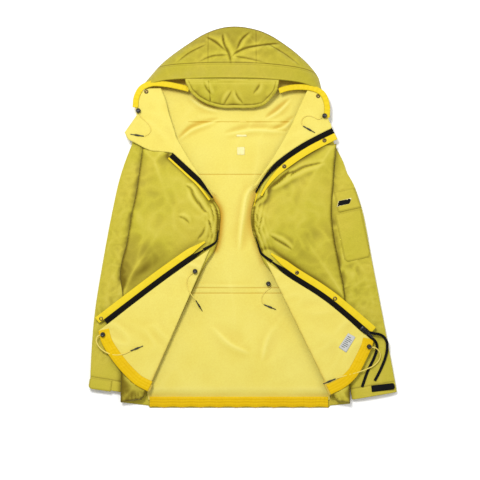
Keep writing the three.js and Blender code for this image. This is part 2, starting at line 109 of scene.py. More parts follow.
def lattice(ix, iy, seed):
    """A fixed angle for each cell corner."""
    mixed = (ix.astype(np.int64) * 73856093) ^ (iy.astype(np.int64) * 19349663) ^ (seed * 83492791)
    mixed = (mixed ^ (mixed >> 13)) * 1274126177
    return ((mixed ^ (mixed >> 16)) & 0xFFFF) / 65536 * 2 * math.pi


def noise(x, y, seed=0):
    """Smooth gradient noise, about -0.7 to 0.7, with cells one unit across."""
    ix = np.floor(x)
    iy = np.floor(y)
    fx = x - ix
    fy = y - iy

    def corner(dx, dy):
        angle = lattice(ix + dx, iy + dy, seed)
        return np.cos(angle) * (fx - dx) + np.sin(angle) * (fy - dy)

    sx = fx**3 * (fx * (fx * 6 - 15) + 10)
    sy = fy**3 * (fy * (fy * 6 - 15) + 10)
    low = corner(0, 0) * (1 - sx) + corner(1, 0) * sx
    high = corner(0, 1) * (1 - sx) + corner(1, 1) * sx
    return low * (1 - sy) + high * sy


def swells(x, y, size, seed=0):
    """Broad soft hills and hollows, about -1 to 1."""
    big = noise(x / size, y / size, seed)
    small = noise(x / size * 2.1 + 5.2, y / size * 2.1 + 1.3, seed + 1)
    return 1.3 * big + 0.5 * small


def folds(x, y, size, angle=0.0, stretch=3.0, seed=0, sharp=2.0):
    """Narrow raised folds with flat cloth between them, 0 to 1. They run along angle."""
    along = (x * math.cos(angle) + y * math.sin(angle)) / (size * stretch)
    across = (-x * math.sin(angle) + y * math.cos(angle)) / size
    along = along + 0.35 * noise(along * 1.3, across * 0.8, seed + 11)
    across = across + 0.6 * noise(along * 1.1, across * 0.6, seed + 12)
    ridge = np.clip(1 - 2.4 * np.abs(noise(along, across, seed)), 0, 1) ** sharp
    patches = step(-0.25, 0.35, noise(along * 0.9 + 3.1, across * 0.45, seed + 13))
    return ridge * patches


def to_line(x, y, line):
    """Distance from each point to a line of points, and how far along the line it is, 0 to 1."""
    x = np.asarray(x, float)
    y = np.asarray(y, float)
    best = np.full(x.shape, np.inf)
    share = np.zeros(x.shape)
    line = np.asarray(line, float)[:, :2]
    lengths = np.hypot(*(line[1:] - line[:-1]).T)
    before = np.concatenate([[0], np.cumsum(lengths)])
    for k, (a, b) in enumerate(zip(line[:-1], line[1:])):
        d = b - a
        t = np.clip(((x - a[0]) * d[0] + (y - a[1]) * d[1]) / max(d @ d, 1e-18), 0, 1)
        away = np.hypot(x - a[0] - t * d[0], y - a[1] - t * d[1])
        closer = away < best
        best = np.where(closer, away, best)
        share = np.where(closer, (before[k] + t * lengths[k]) / before[-1], share)
    return best, share


def closed_line(outline):
    """The outline with its first point again at the end."""
    return np.vstack([outline, outline[:1]])


def to_edge(x, y, outline):
    """Distance from each point to a closed outline."""
    return to_line(x, y, closed_line(outline))[0]


def inside(x, y, outline):
    """True where a point is inside a closed outline."""
    x = np.asarray(x, float)
    y = np.asarray(y, float)
    within = np.zeros(x.shape, bool)
    for a, b in zip(outline, np.roll(outline, -1, axis=0)):
        if a[1] == b[1]:
            continue
        crosses = (a[1] > y) != (b[1] > y)
        within ^= crosses & (x < a[0] + (y - a[1]) * (b[0] - a[0]) / (b[1] - a[1]))
    return within


def crease(x, y, points, width, rise):
    """One fold along given points: a crisp valley with a full shoulder on its left and a low one on its
    right, or a ridge with hollows where rise is positive. It fades out at both ends."""
    line = spline(points, 8 * MM)
    away, share = to_line(x, y, line)
    left = to_line(x, y, offset(line, 0.5 * width))[0] < away
    ends = np.sin(math.pi * share.clip(0, 1)) ** 0.8
    width = width * (0.4 + 0.6 * ends)
    valley = bell(away, 0.6 * width, 1.5)
    shoulder = np.where(left, 0.9, 0.2) * bell(away - 1.7 * width, 1.5 * width)
    return rise * ends * (valley - shoulder)


def crumple(x, y, size, seed=0):
    """Crisp shallow ridges, as in stiff cloth that has been handled, about -1 to 1."""
    wide = noise(x / size + 0.7 * noise(x / size, y / size, seed + 5), y / size, seed)
    fine = noise(x / size * 2.3, y / size * 2.3 + 0.6 * noise(x / size, y / size, seed + 6), seed + 1)
    return 1 - 2.6 * np.abs(wide) - 1.1 * np.abs(fine)


def spline(points, spacing=EDGE_STEP, closed=False):
    """A smooth line through points, with centripetal spacing, resampled evenly."""
    points = np.asarray(points, float)
    if closed:
        padded = np.vstack([points[-1:], points, points[:2]])
    else:
        padded = np.vstack([2 * points[:1] - points[1:2], points, 2 * points[-1:] - points[-2:-1]])
    pieces = []
    for p0, p1, p2, p3 in zip(padded, padded[1:], padded[2:], padded[3:]):
        t1 = max(np.linalg.norm(p1 - p0), 1e-9) ** 0.5
        t2 = t1 + max(np.linalg.norm(p2 - p1), 1e-9) ** 0.5
        t3 = t2 + max(np.linalg.norm(p3 - p2), 1e-9) ** 0.5
        t = np.linspace(t1, t2, 12, endpoint=False)[:, None]
        a1 = (t1 - t) / t1 * p0 + t / t1 * p1
        a2 = (t2 - t) / (t2 - t1) * p1 + (t - t1) / (t2 - t1) * p2
        a3 = (t3 - t) / (t3 - t2) * p2 + (t - t2) / (t3 - t2) * p3
        b1 = (t2 - t) / t2 * a1 + t / t2 * a2
        b2 = (t3 - t) / (t3 - t1) * a2 + (t - t1) / (t3 - t1) * a3
        pieces.append((t2 - t) / (t2 - t1) * b1 + (t - t1) / (t2 - t1) * b2)
    dense = np.vstack([*pieces, points[:1] if closed else points[-1:]])
    return evenly(dense, spacing)


def evenly(line, spacing=None, count=None):
    """The same line with evenly spaced points."""
    line = np.asarray(line, float)
    run = np.concatenate([[0], np.cumsum(np.linalg.norm(line[1:] - line[:-1], axis=1))])
    count = count or max(2, int(round(run[-1] / spacing)) + 1)
    at = np.linspace(0, run[-1], count)
    return np.column_stack([np.interp(at, run, line[:, k]) for k in range(line.shape[1])])


def even_loop(outline):
    """The same closed outline with evenly spaced points."""
    return evenly(closed_line(outline), EDGE_STEP)[:-1]


def run_length(line):
    return float(np.linalg.norm(np.diff(line, axis=0), axis=1).sum())


def unit(vectors):
    """Each row with its length made 1."""
    return vectors / np.linalg.norm(vectors, axis=1)[:, None]


def offset(line, distance):
    """The line beside a plan line, at a distance to its left."""
    line = np.asarray(line, float)[:, :2]
    tangent = unit(np.gradient(line, axis=0))
    return line + distance * np.column_stack([-tangent[:, 1], tangent[:, 0]])


# ---- What the frame says ----

def node_mesh(node_name):
    mesh = bmesh.new()
    mesh.from_mesh(frame["nodes"][node_name].data)
    bmesh.ops.remove_doubles(mesh, verts=mesh.verts, dist=0.02 * MM)
    mesh.normal_update()
    return mesh


def area(loop):
    x, y = np.asarray(loop)[:, :2].T
    return 0.5 * (x @ np.roll(y, -1) - y @ np.roll(x, -1))


def plan(node_name):
    """The outline of a node's upper side, seen from above, anticlockwise."""
    mesh = node_mesh(node_name)
    upper = {f for f in mesh.faces if f.normal.z > 0.02}
    follow = {}
    for edge in mesh.edges:
        owners = [f for f in edge.link_faces if f in upper]
        if len(owners) == 1:
            for loop in owners[0].loops:
                if loop.edge == edge:
                    follow[loop.vert] = loop.link_loop_next.vert
    loops = []
    while follow:
        start, current = follow.popitem()
        loop = [start]
        while current != start and current in follow:
            loop.append(current)
            current = follow.pop(current)
        loops.append(np.array([[v.co.x, v.co.y] for v in loop]))
    mesh.free()
    best = max(loops, key=lambda loop: abs(area(loop)))
    return best if area(best) > 0 else best[::-1]


def turns(loop):
    ahead = np.roll(loop, -1, axis=0) - loop
    behind = loop - np.roll(loop, 1, axis=0)
    cross = behind[:, 0] * ahead[:, 1] - behind[:, 1] * ahead[:, 0]
    return np.abs(np.arctan2(cross, (behind * ahead).sum(1)))


def stretches(loop, corners):
    """The loop cut at its corners, each stretch with both of its ends."""
    cuts = sorted(corners)
    wrapped = np.vstack([loop, loop])
    ends = cuts[1:] + [cuts[0] + len(loop)]
    return [wrapped[a:b + 1] for a, b in zip(cuts, ends)]


def smooth_outline(loop, corner=0.6):
    """A node's outline with its curved stretches smoothed and its corners kept."""
    corners = np.flatnonzero(turns(loop) > corner)
    if len(corners) < 2:
        return spline(loop, closed=True)[:-1]
    return np.vstack([spline(part)[:-1] for part in stretches(loop, corners)])


def long_sides(node_name):
    """The two longest stretches of a node's outline between its four sharpest corners."""
    loop = plan(node_name)
    corners = np.argsort(turns(loop))[-4:]
    return sorted(stretches(loop, corners), key=run_length)[-2:]


def rails(node_name, count=80):
    """The two long sides of a strip or sleeve, left one first, both from the end nearer the head."""
    sides = [part if part[0][1] > part[-1][1] else part[::-1] for part in long_sides(node_name)]
    return [evenly(spline(side), count=count) for side in sorted(sides, key=lambda side: side[:, 0].mean())]


def centre_line(node_name):
    left, right = rails(node_name)
    return evenly((left + right) / 2, EDGE_STEP)


def splice(first, second, reach):
    """One outline from two that meet along an edge."""
    def open_path(loop, other):
        gaps = np.linalg.norm(loop[:, None] - other[None], axis=2).min(1)
        near = gaps < reach
        start = next(i for i in range(len(loop)) if near[i] and not near[(i + 1) % len(loop)])
        path = np.roll(loop, -start, axis=0)
        end = next(k for k in range(1, len(loop)) if np.roll(near, -start)[k])
        return path[:end + 1]
    return np.vstack([open_path(first, second), open_path(second, first)])


def foot(node_name):
    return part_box(node_name)[0].z


def top(node_name):
    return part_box(node_name)[1].z


def middle(node_name):
    low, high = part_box(node_name)
    return (low + high) / 2


def at(node_name, across, up):
    """A place in a node's box: across and up run from 0 to 1."""
    low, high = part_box(node_name)
    return (low.x + across * (high.x - low.x), low.y + up * (high.y - low.y))


def placed(node_name, points):
    """Points across a node's box, as places."""
    return np.array([at(node_name, *point) for point in points])


def joint(name):
    """A joint of the frame: a point on its axis, and the axis."""
    found = next(j for j in frame["joints"] if j["name"] == name)
    return np.array(found["pos_m"]), np.array(found["axis"])


def seen_from_above(tree, spots=((0, 0),), level=10 * MM):
    """height(x, y) of what a ray from above meets, averaged over spots round the point.

    Where there is nothing below, it is the height of the place nearest to the point at this level.
    """
    def one(x, y):
        hits = [tree.ray_cast(Vector((x + dx, y + dy, 1)), Vector((0, 0, -1)))[0] for dx, dy in spots]
        heights = [hit.z for hit in hits if hit is not None]
        if heights:
            return sum(heights) / len(heights)
        return tree.find_nearest(Vector((x, y, level)))[0].z

    return lambda x, y: np.array([one(a, b) for a, b in zip(x, y)])


def height_of(node_name, blur=8 * MM):
    """The height of a node's upper side, a little blurred."""
    mesh = node_mesh(node_name)
    tree = BVHTree.FromBMesh(mesh)
    mesh.free()
    ring = [(blur * math.cos(k * math.pi / 3), blur * math.sin(k * math.pi / 3)) for k in range(6)]
    return seen_from_above(tree, [(0, 0), *ring], 50 * MM)


def heights_over(piece):
    """The height of the upper side of a built piece."""
    verts = [vert.co.copy() for vert in piece.data.vertices]
    faces = [list(face.vertices) for face in piece.data.polygons]
    return seen_from_above(BVHTree.FromPolygons(verts, faces))


# ---- Materials ----

def link(tree, source, target):
    tree.links.new(source, target)


def shader_node(tree, kind, **inputs):
    made = tree.nodes.new(kind)
    for key, value in inputs.items():
        made.inputs[key.replace("_", " ")].default_value = value
    return made


def srgb(red, green, blue):
    def linear(c):
        c = c / 255
        return c / 12.92 if c < 0.04045 else ((c + 0.055) / 1.055) ** 2.4
    return (linear(red), linear(green), linear(blue), 1)


def new_material(name, roughness, metallic=0.0, sheen=0.0, specular=0.5):
    material = bpy.data.materials.new(name)
    material.use_nodes = True
    shader = material.node_tree.nodes["Principled BSDF"]
    shader.inputs["Roughness"].default_value = roughness
    shader.inputs["Metallic"].default_value = metallic
    shader.inputs["Sheen Weight"].default_value = sheen
    shader.inputs["Sheen Roughness"].default_value = 0.5
    shader.inputs["Specular IOR Level"].default_value = specular
    return material, material.node_tree, shader


def mix_colour(tree, factor, a, b):
    mixer = tree.nodes.new("ShaderNodeMix")
    mixer.data_type = "RGBA"
    for socket, value in ((mixer.inputs[0], factor), (mixer.inputs[6], a), (mixer.inputs[7], b)):
        if isinstance(value, bpy.types.NodeSocket):
            link(tree, value, socket)
        else:
            socket.default_value = value
    return mixer.outputs[2]


def remap(tree, value, low, high, out_low=0.0, out_high=1.0):
    ranged = shader_node(tree, "ShaderNodeMapRange", From_Min=low, From_Max=high, To_Min=out_low,
                         To_Max=out_high)
    link(tree, value, ranged.inputs["Value"])
    return ranged.outputs[0]


def grain(tree, where, scale, detail=3.0):
    texture = shader_node(tree, "ShaderNodeTexNoise", Scale=scale, Detail=detail)
    link(tree, where, texture.inputs["Vector"])
    return texture.outputs["Fac"]


def bump(tree, height, strength, distance, under=None):
    """The normal of a surface with this height on it, and any other bump under it."""
    made = shader_node(tree, "ShaderNodeBump", Strength=strength, Distance=distance)
    link(tree, height, made.inputs["Height"])
    if under:
        link(tree, under, made.inputs["Normal"])
    return made.outputs["Normal"]


def weave_height(tree, where, thread):
    """Plain weave: two sets of threads, each thread this wide in metres."""
    waves = []
    for direction in ("X", "Y"):
        wave = shader_node(tree, "ShaderNodeTexWave", Scale=0.314 / thread, Distortion=0.6, Detail=1.0)
        wave.bands_direction = direction
        link(tree, where, wave.inputs["Vector"])
        waves.append(wave.outputs["Fac"])
    total = tree.nodes.new("ShaderNodeMath")
    total.operation = "MAXIMUM"
    link(tree, waves[0], total.inputs[0])
    link(tree, waves[1], total.inputs[1])
    return total.outputs[0]


def cloth_material(name, main, second, shade, light, roughness=0.6, sheen=0.02, thread=0.9 * MM):
    """Woven cloth: two close shades in soft patches, painted shade in the hollows and a painted highlight on the
    folds.
    """
    material, tree, shader = new_material(name, roughness, sheen=sheen, specular=0.12)
    where = tree.nodes.new("ShaderNodeTexCoord").outputs["Object"]
    tone = tree.nodes.new("ShaderNodeAttribute")
    tone.attribute_name = "tone"
    soft = remap(tree, grain(tree, where, 9.0), 0.35, 0.65)
    fine = remap(tree, grain(tree, where, 260, 2.0), 0.3, 0.7, 0.0, 0.12)
    base = mix_colour(tree, soft, srgb(*main), srgb(*second))
    base = mix_colour(tree, fine, base, srgb(*shade))
    # The tone attribute mixes in painted shade below 0 and a painted highlight above 0.
    base = mix_colour(tree, remap(tree, tone.outputs["Fac"], 0, -1, 0.0, 0.9), base, srgb(*shade))
    base = mix_colour(tree, remap(tree, tone.outputs["Fac"], 0, 1, 0.0, 0.8), base, srgb(*light))
    link(tree, base, shader.inputs["Base Color"])
    gloss = remap(tree, grain(tree, where, 40), 0.3, 0.7, roughness - 0.07, roughness + 0.08)
    link(tree, gloss, shader.inputs["Roughness"])
    creasing = bump(tree, grain(tree, where, 55, 4.0), 0.07, 1.2 * MM)
    weave = bump(tree, weave_height(tree, where, thread), 0.35, 0.12 * MM, creasing)
    link(tree, weave, shader.inputs["Normal"])
    return material


def hard_material(name, main, worn, roughness, metallic=0.0, scale=180.0):
    """Moulded or plated: fine speckle in the colour, a soft texture in the gloss and relief."""
    material, tree, shader = new_material(name, roughness, metallic=metallic)
    where = tree.nodes.new("ShaderNodeTexCoord").outputs["Object"]
    speckle = remap(tree, grain(tree, where, scale, 4.0), 0.45, 0.75)
    link(tree, mix_colour(tree, speckle, srgb(*main), srgb(*worn)), shader.inputs["Base Color"])
    gloss = remap(tree, grain(tree, where, scale * 2), 0.3, 0.7, roughness - 0.08, roughness + 0.1)
    link(tree, gloss, shader.inputs["Roughness"])
    link(tree, bump(tree, grain(tree, where, scale * 6, 2.0), 0.15, 0.1 * MM), shader.inputs["Normal"])
    return material


SHELL = cloth_material("shell_cloth", (189, 174, 58), (182, 171, 50), (96, 78, 2), (206, 193, 84), 0.58)
LINING = cloth_material("lining_cloth", (219, 206, 102), (217, 202, 94), (178, 130, 4), (227, 215, 124))
FACING = cloth_material("facing_cloth", (221, 197, 38), (218, 191, 26), (166, 126, 2), (226, 207, 66))
HEM = cloth_material("hem_cloth", (218, 182, 2), (214, 175, 1), (168, 116, 0), (224, 192, 14))
ZIP_TAPE = cloth_material("zip_tape", (17, 15, 9), (13, 12, 8), (6, 6, 4), (44, 40, 26), 0.85, 0.0, 0.7 * MM)
WEBBING = cloth_material("webbing", (16, 16, 17), (12, 12, 13), (5, 5, 6), (44, 44, 46), 0.85, 0.0, 1.1 * MM)
CORD = cloth_material("cord_cloth", (222, 203, 104), (218, 198, 92), (166, 122, 10), (232, 220, 150),
                      sheen=0.05, thread=1.2 * MM)
LABEL = cloth_material("label_cloth", (190, 190, 184), (184, 185, 180), (150, 152, 150), (236, 236, 230),
                       sheen=0.05, thread=0.6 * MM)
PLASTIC = hard_material("moulded_plastic", (16, 16, 17), (34, 34, 36), 0.38)
BRASS = hard_material("snap_plating", (92, 78, 44), (150, 130, 80), 0.32, 0.9, 240)
METAL = hard_material("slider_plating", (22, 22, 23), (60, 60, 60), 0.34, 0.7)
PRINT = hard_material("print_ink", (226, 215, 150), (220, 206, 126), 0.6)
INK = hard_material("label_ink", (70, 72, 74), (92, 94, 96), 0.7)


# ---- Meshes ----

def vertex_normals(verts, faces):
    """Area-weighted normals of a skin of triangles or quads."""
    normals = np.zeros_like(verts)
    for corners in sorted({len(f) for f in faces}):
        chosen = np.array([f for f in faces if len(f) == corners])
        a, b, c = verts[chosen[:, 0]], verts[chosen[:, 1]], verts[chosen[:, -1]]
        face_normals = np.cross(b - a, c - a)
        for k in range(corners):
            np.add.at(normals, chosen[:, k], face_normals)
    lengths = np.linalg.norm(normals, axis=1)[:, None]
    return normals / np.maximum(lengths, 1e-12)


def facing_up(verts, faces):
    """The faces of a skin, each turned over if the skin faces down."""
    up = vertex_normals(verts, faces)[:, 2].mean() > 0
    return faces if up else [tuple(reversed(f)) for f in faces]


def new_object(name, data):
    made = bpy.data.objects.new(name, data)
    bpy.context.scene.collection.objects.link(made)
    return made


def finish_piece(piece, place, slot, *replaced):
    """place is the body that the piece rides on, or a bend: two bodies and a point on each side of it; a bend is
    not used, and the piece stays where it lies.
    """
    if isinstance(place, str):
        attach(piece, place)
    else:
        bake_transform(piece)
    if replaced:
        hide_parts(*replaced)
    return piece


def bevel_edges(piece, width, segments, angle):
    modifier = piece.modifiers.new("edges", "BEVEL")
    modifier.width = width
    modifier.segments = segments
    modifier.limit_method = "ANGLE"
    modifier.angle_limit = angle


def make(name, verts, faces, finishes, thickness=CLOTH, tone=None):
    """A skin thickened inwards into a closed solid. finishes are the outside's material and the inside's."""
    verts = np.asarray(verts, float)
    faces = [tuple(int(i) for i in f) for f in faces]
    inner = verts - thickness * vertex_normals(verts, faces)
    count = len(verts)
    used = {}
    for f in faces:
        for a, b in zip(f, f[1:] + f[:1]):
            used[(a, b)] = used.get((a, b), 0) + 1
    rim = [(b, a, a + count, b + count) for (a, b) in used if (b, a) not in used]
    under = [tuple(i + count for i in reversed(f)) for f in faces]
    data = bpy.data.meshes.new(name)
    data.from_pydata(np.vstack([verts, inner]).tolist(), [], faces + under + rim)
    for finish in finishes:
        data.materials.append(finish)
    slots = np.zeros(len(data.polygons), np.int32)
    slots[len(faces):len(faces) + len(under)] = len(finishes) - 1
    data.polygons.foreach_set("material_index", slots)
    # tone holds painted shade below 0 and a painted highlight above 0, and the darker lines along seams and bands.
    shades = np.zeros(count) if tone is None else np.clip(tone, -1, 1)
    attribute = data.attributes.new("tone", "FLOAT", "POINT")
    attribute.data.foreach_set("value", np.concatenate([shades, shades]).astype(np.float32))
    data.polygons.foreach_set("use_smooth", np.full(len(data.polygons), True))
    data.update()
    return new_object(name, data)


def cut(edge, lines, grid):
    """Triangles filling an outline, with rows of points along each line drawn on it."""
    low = edge.min(0)
    high = edge.max(0)
    xs, ys = np.meshgrid(np.arange(low[0], high[0], grid), np.arange(low[1], high[1], grid * 0.87))
    xs = xs + (np.arange(len(ys))[:, None] % 2) * grid / 2
    field = np.column_stack([xs.ravel(), ys.ravel()])
    rows = []
    for line in lines:
        line = evenly(np.asarray(line)[:, :2], GRID)
        rows += [offset(line, d * MM) for d in (-2.2, -0.8, 0.8, 2.2)]
        field = field[to_line(*field.T, line)[0] > 3.4 * MM]
    if rows:
        field = np.vstack([field, *rows])
    clear = inside(*field.T, edge) & (to_edge(*field.T, edge) > 0.55 * grid)
    points = np.vstack([edge, field[clear]])
    count = len(edge)
    links = [(i, (i + 1) % count) for i in range(count)]
    verts, _, faces, _, _, _ = delaunay_2d_cdt([Vector(p) for p in points], links, [], 1, 1e-6)
    return np.array([tuple(v) for v in verts]), [tuple(f) for f in faces]


def seams(x, y, lines, depth=0.7 * MM, width=1.3 * MM):
    """Sewn lines: how far they pull the cloth down, and how much they darken it."""
    pull = np.zeros(np.shape(x))
    for line in lines:
        away, _ = to_line(x, y, line)
        pull = np.maximum(pull, bell(away, width))
    return -depth * pull, -0.55 * pull


def cavity(verts, faces, rounds=10, depth=1.3 * MM):
    """How far each point stands above (or below) the cloth round it, about -1 to 1."""
    links = set()
    for f in faces:
        for a, b in zip(f, f[1:] + f[:1]):
            links.add((min(a, b), max(a, b)))
    a, b = np.array(sorted(links)).T
    counts = np.bincount(a, minlength=len(verts)) + np.bincount(b, minlength=len(verts))
    z = verts[:, 2].copy()
    for _ in range(rounds):
        total = np.bincount(a, z[b], len(verts)) + np.bincount(b, z[a], len(verts))
        z = 0.3 * z + 0.7 * total / np.maximum(counts, 1)
    return np.clip((verts[:, 2] - z) / depth, -1, 1)


def cloth_panel(name, outline, height, finishes, lines=(), roll=None, grid=GRID, tone=None):
    """A piece of cloth cut to an outline, lying at height(x, y). Its hollows get painted shade and its folds a
    painted highlight.

    lines are sewn on it, roll is a fold that it wraps round, and tone(x, y) adds more painted shade and painted
    light.
    """
    points, faces = cut(outline, lines, grid)
    x, y = points.T
    pull, dark = seams(x, y, lines)
    verts = np.column_stack([x, y, height(x, y) + pull])
    # Darker along the seams, painted shade in the hollows and a painted highlight on the folds.
    shades = dark + 0.8 * cavity(verts, faces)
    shades[:len(outline)] = 0
    if tone is not None:
        shades = shades + tone(x, y)
    if roll is not None:
        verts, faces, shades = add_roll(verts, faces, shades, len(outline), *roll)
    return make(name, verts, faces, finishes, CLOTH, shades)


def add_roll(verts, faces, shades, count, start, along, reach):
    """Carries the edge that lies on a fold line on round the fold, under the panel."""
    start = np.array(start)
    along = np.array(along) / np.linalg.norm(along)
    outline = verts[:count]
    run = (outline - start) @ along
    away = np.linalg.norm((outline - start - run[:, None] * along)[:, :2], axis=1)
    on_fold = away < 1.2 * MM
    first = next(i for i in range(count) if on_fold[i] and not on_fold[i - 1])
    edge = [(first + k) % count for k in range(count) if on_fold[(first + k) % count]]
    rows = [edge]
    added = []
    steps = 10
    for k in range(1, steps + 1):
        turn = Matrix.Rotation(reach * k / steps, 3, Vector(along))
        centres = start + run[edge][:, None] * along
        ring = np.array([tuple(turn @ Vector(v)) for v in verts[edge] - centres]) + centres
        base = len(verts) + sum(len(r) for r in added)
        rows.append(list(range(base, base + len(edge))))
        added.append(ring)
    for near, far in zip(rows, rows[1:]):
        faces = faces + [(near[i + 1], near[i], far[i], far[i + 1]) for i in range(len(edge) - 1)]
    extra = np.tile(shades[edge], steps)
    return np.vstack([verts, *added]), faces, np.concatenate([shades, extra])


def surface(columns, rows, point, wrap=False):
    """A grid skin from point(u, v); with wrap, u runs once round a tube."""
    across = columns if wrap else columns + 1
    u = np.arange(across) / columns
    v = np.arange(rows + 1) / rows
    us, vs = np.meshgrid(u, v)
    verts = point(us.ravel(), vs.ravel())
    faces = []
    for r in range(rows):
        for c in range(columns):
            a = r * across + c
            b = r * across + (c + 1) % across
            faces.append((a, b, b + across, a + across))
    return verts, faces


def lathe(name, profile, finish, at, segments=40, axis=(0, 0, 1), bevel=0.3 * MM):
    """A turned piece standing at a point, its profile (radius, height) starting and ending on the axis."""
    mesh = bmesh.new()
    rings = []
    for radius, height in profile:
        if radius < 1e-6:
            rings.append([mesh.verts.new((0, 0, height))])
        else:
            turn = [2 * math.pi * k / segments for k in range(segments)]
            rings.append([mesh.verts.new((radius * math.cos(t), radius * math.sin(t), height)) for t in turn])
    for low, high in zip(rings, rings[1:]):
        for k in range(segments):
            n = (k + 1) % segments
            quad = [low[k % len(low)], low[n % len(low)], high[n % len(high)], high[k % len(high)]]
            unique = list(dict.fromkeys(quad))
            if len(unique) > 2:
                mesh.faces.new(unique)
    bmesh.ops.recalc_face_normals(mesh, faces=mesh.faces)
    data = bpy.data.meshes.new(name)
    mesh.to_mesh(data)
    mesh.free()
    data.materials.append(finish)
    turned = Vector((0, 0, 1)).rotation_difference(Vector(axis)).to_matrix().to_4x4()
    data.transform(Matrix.Translation(Vector(at)) @ turned)
    data.polygons.foreach_set("use_smooth", np.full(len(data.polygons), True))
    piece = new_object(name, data)
    bevel_edges(piece, bevel, 2, 0.6)
    return piece


# ---- Camera, light and floor ----

# How much of the floor the view shows, the point of it that the camera stands over, and how high it stands.
VIEW_WIDTH = 1325 * MM
VIEW_CENTRE = (-9.1 * MM, -63.5 * MM)
CAMERA_HEIGHT = 4.0


def add_camera():
    data = bpy.data.cameras.new("camera")
    data.sensor_width = 36
    data.lens = data.sensor_width * CAMERA_HEIGHT / VIEW_WIDTH
    camera = new_object("camera", data)
    camera.location = (*VIEW_CENTRE, CAMERA_HEIGHT)
    bpy.context.scene.camera = camera


def add_light(name, place, size, power):
    """A round soft light aimed at the middle of the jacket."""
    data = bpy.data.lights.new(name, "AREA")
    data.shape = "DISK"
    data.size = size
    data.energy = power
    light = new_object(name, data)
    light.location = place
    light.rotation_euler = (-Vector(place)).to_track_quat("-Z", "Y").to_euler()


def add_floor():
    bpy.ops.mesh.primitive_plane_add(size=12, location=(0, 0, -0.6 * MM))
    floor = bpy.context.object
    floor.name = "floor"
    material, tree, shader = new_material("floor_paper", 0.9, specular=0.2)
    shader.inputs["Base Color"].default_value = (0.99, 0.99, 0.99, 1)
    floor.data.materials.append(material)


def add_world():
    world = bpy.data.worlds.new("studio")
    world.use_nodes = True
    world.node_tree.nodes["Background"].inputs["Color"].default_value = (1, 1, 1, 1)
    world.node_tree.nodes["Background"].inputs["Strength"].default_value = 0.52
    bpy.context.scene.world = world
    bpy.context.scene.view_settings.view_transform = "Standard"


add_camera()
add_world()
add_floor()
add_light("key", (-0.6, 1.1, 2.9), 0.8, 74)
add_light("fill", (1.4, 0.8, 2.8), 2.0, 22)


# ---- Cords and their hardware, millimetres as the design gives them ----

CORDS = {
    "hood_left": {
        "body": "hood", "diameter": 2.2,
        "route": [(-284, 283, 37.2), (-281, 275, 36), (-268, 262, 35.5), (-256, 249, 35.5), (-253, 237, 35.5),
                  (-260, 226, 35.5), (-271, 220.5, 36.5)],
    },
    "hood_right": {
        "body": "hood", "diameter": 2.2,
        "route": [(215.5, 272, 37.2), (206, 267, 36), (190, 274, 35.5), (173, 276, 35.5), (161, 267, 35.5),
                  (160, 256, 35.5), (163, 249, 36.5)],
    },
    "waist_left": {
        "body": "left_front_turned", "end_body": "torso", "diameter": 2.2,
        "route": [(-137.5, -153.5, 37.2), (-146, -160, 36), (-153, -171, 35.5), (-154, -185, 35.5),
                  (-148, -204, 35.5), (-138, -219, 34.5), (-131, -228, 28)],
    },
    "waist_right": {
        "body": "torso", "diameter": 2.2,
        "route": [(75.5, -186.5, 8.5), (78, -191, 7.5), (73, -197, 6.8), (61, -206, 6.8), (52, -219, 6.8),
                  (51, -231, 6.8), (56, -240.5, 8)],
    },
    "hem_left": {
        "body": "left_front_turned", "diameter": 3.3,
        "route": [(-390.5, -323.5, 37.2), (-398, -327, 37), (-402, -337, 36.5), (-397, -352, 36.2),
                  (-383, -366, 36), (-365, -375, 36), (-346, -378, 36), (-327, -375, 36),
                  (-310, -367.5, 36.4)],
    },
    "hem_right": {
        "body": "right_front_turned", "diameter": 3.3,
        "route": [(350.8, -356.5, 37.2), (360, -358, 36), (371, -367, 29), (376, -381, 24.7),
                  (370, -396, 24.6), (356, -409, 26), (338, -417, 31), (318, -424, 36), (288, -432, 36),
                  (254, -442.3, 36.4)],
    },
}


def cord_curve(name, points, diameter):
    data = bpy.data.curves.new(name, "CURVE")
    data.dimensions = "3D"
    data.bevel_depth = diameter / 2
    data.bevel_resolution = 4
    data.use_fill_caps = True
    line = data.splines.new("POLY")
    line.points.add(len(points) - 1)
    line.points.foreach_set("co", np.column_stack([points, np.ones(len(points))]).ravel())
    data.materials.append(CORD)
    return new_object(name, data)


def cord_tube(name, points, diameter):
    """The same cord as a mesh, for one that bends across a joint."""
    tangents = unit(np.gradient(points, axis=0))
    side = unit(np.cross(tangents, [0, 0, 1.0]))
    lift = np.cross(side, tangents)
    segments = 12
    verts = []
    faces = []
    for k in range(segments):
        turn = 2 * math.pi * k / segments
        verts.append(points + diameter / 2 * (math.cos(turn) * side + math.sin(turn) * lift))
    verts = np.stack(verts, axis=1).reshape(-1, 3)
    for r in range(len(points) - 1):
        for k in range(segments):
            n = (k + 1) % segments
            faces.append((r * segments + k, r * segments + n, (r + 1) * segments + n, (r + 1) * segments + k))
    faces.append(tuple(reversed(range(segments))))
    faces.append(tuple(range((len(points) - 1) * segments, len(points) * segments)))
    data = bpy.data.meshes.new(name)
    data.from_pydata(verts.tolist(), [], faces)
    data.materials.append(CORD)
    data.polygons.foreach_set("use_smooth", np.full(len(faces), True))
    data.update()
    return new_object(name, data)


def scaled(profile, length=MM):
    """A turned profile at its real size, its radii in millimetres and its heights in shares of length."""
    return [(radius * MM, height * length) for radius, height in profile]


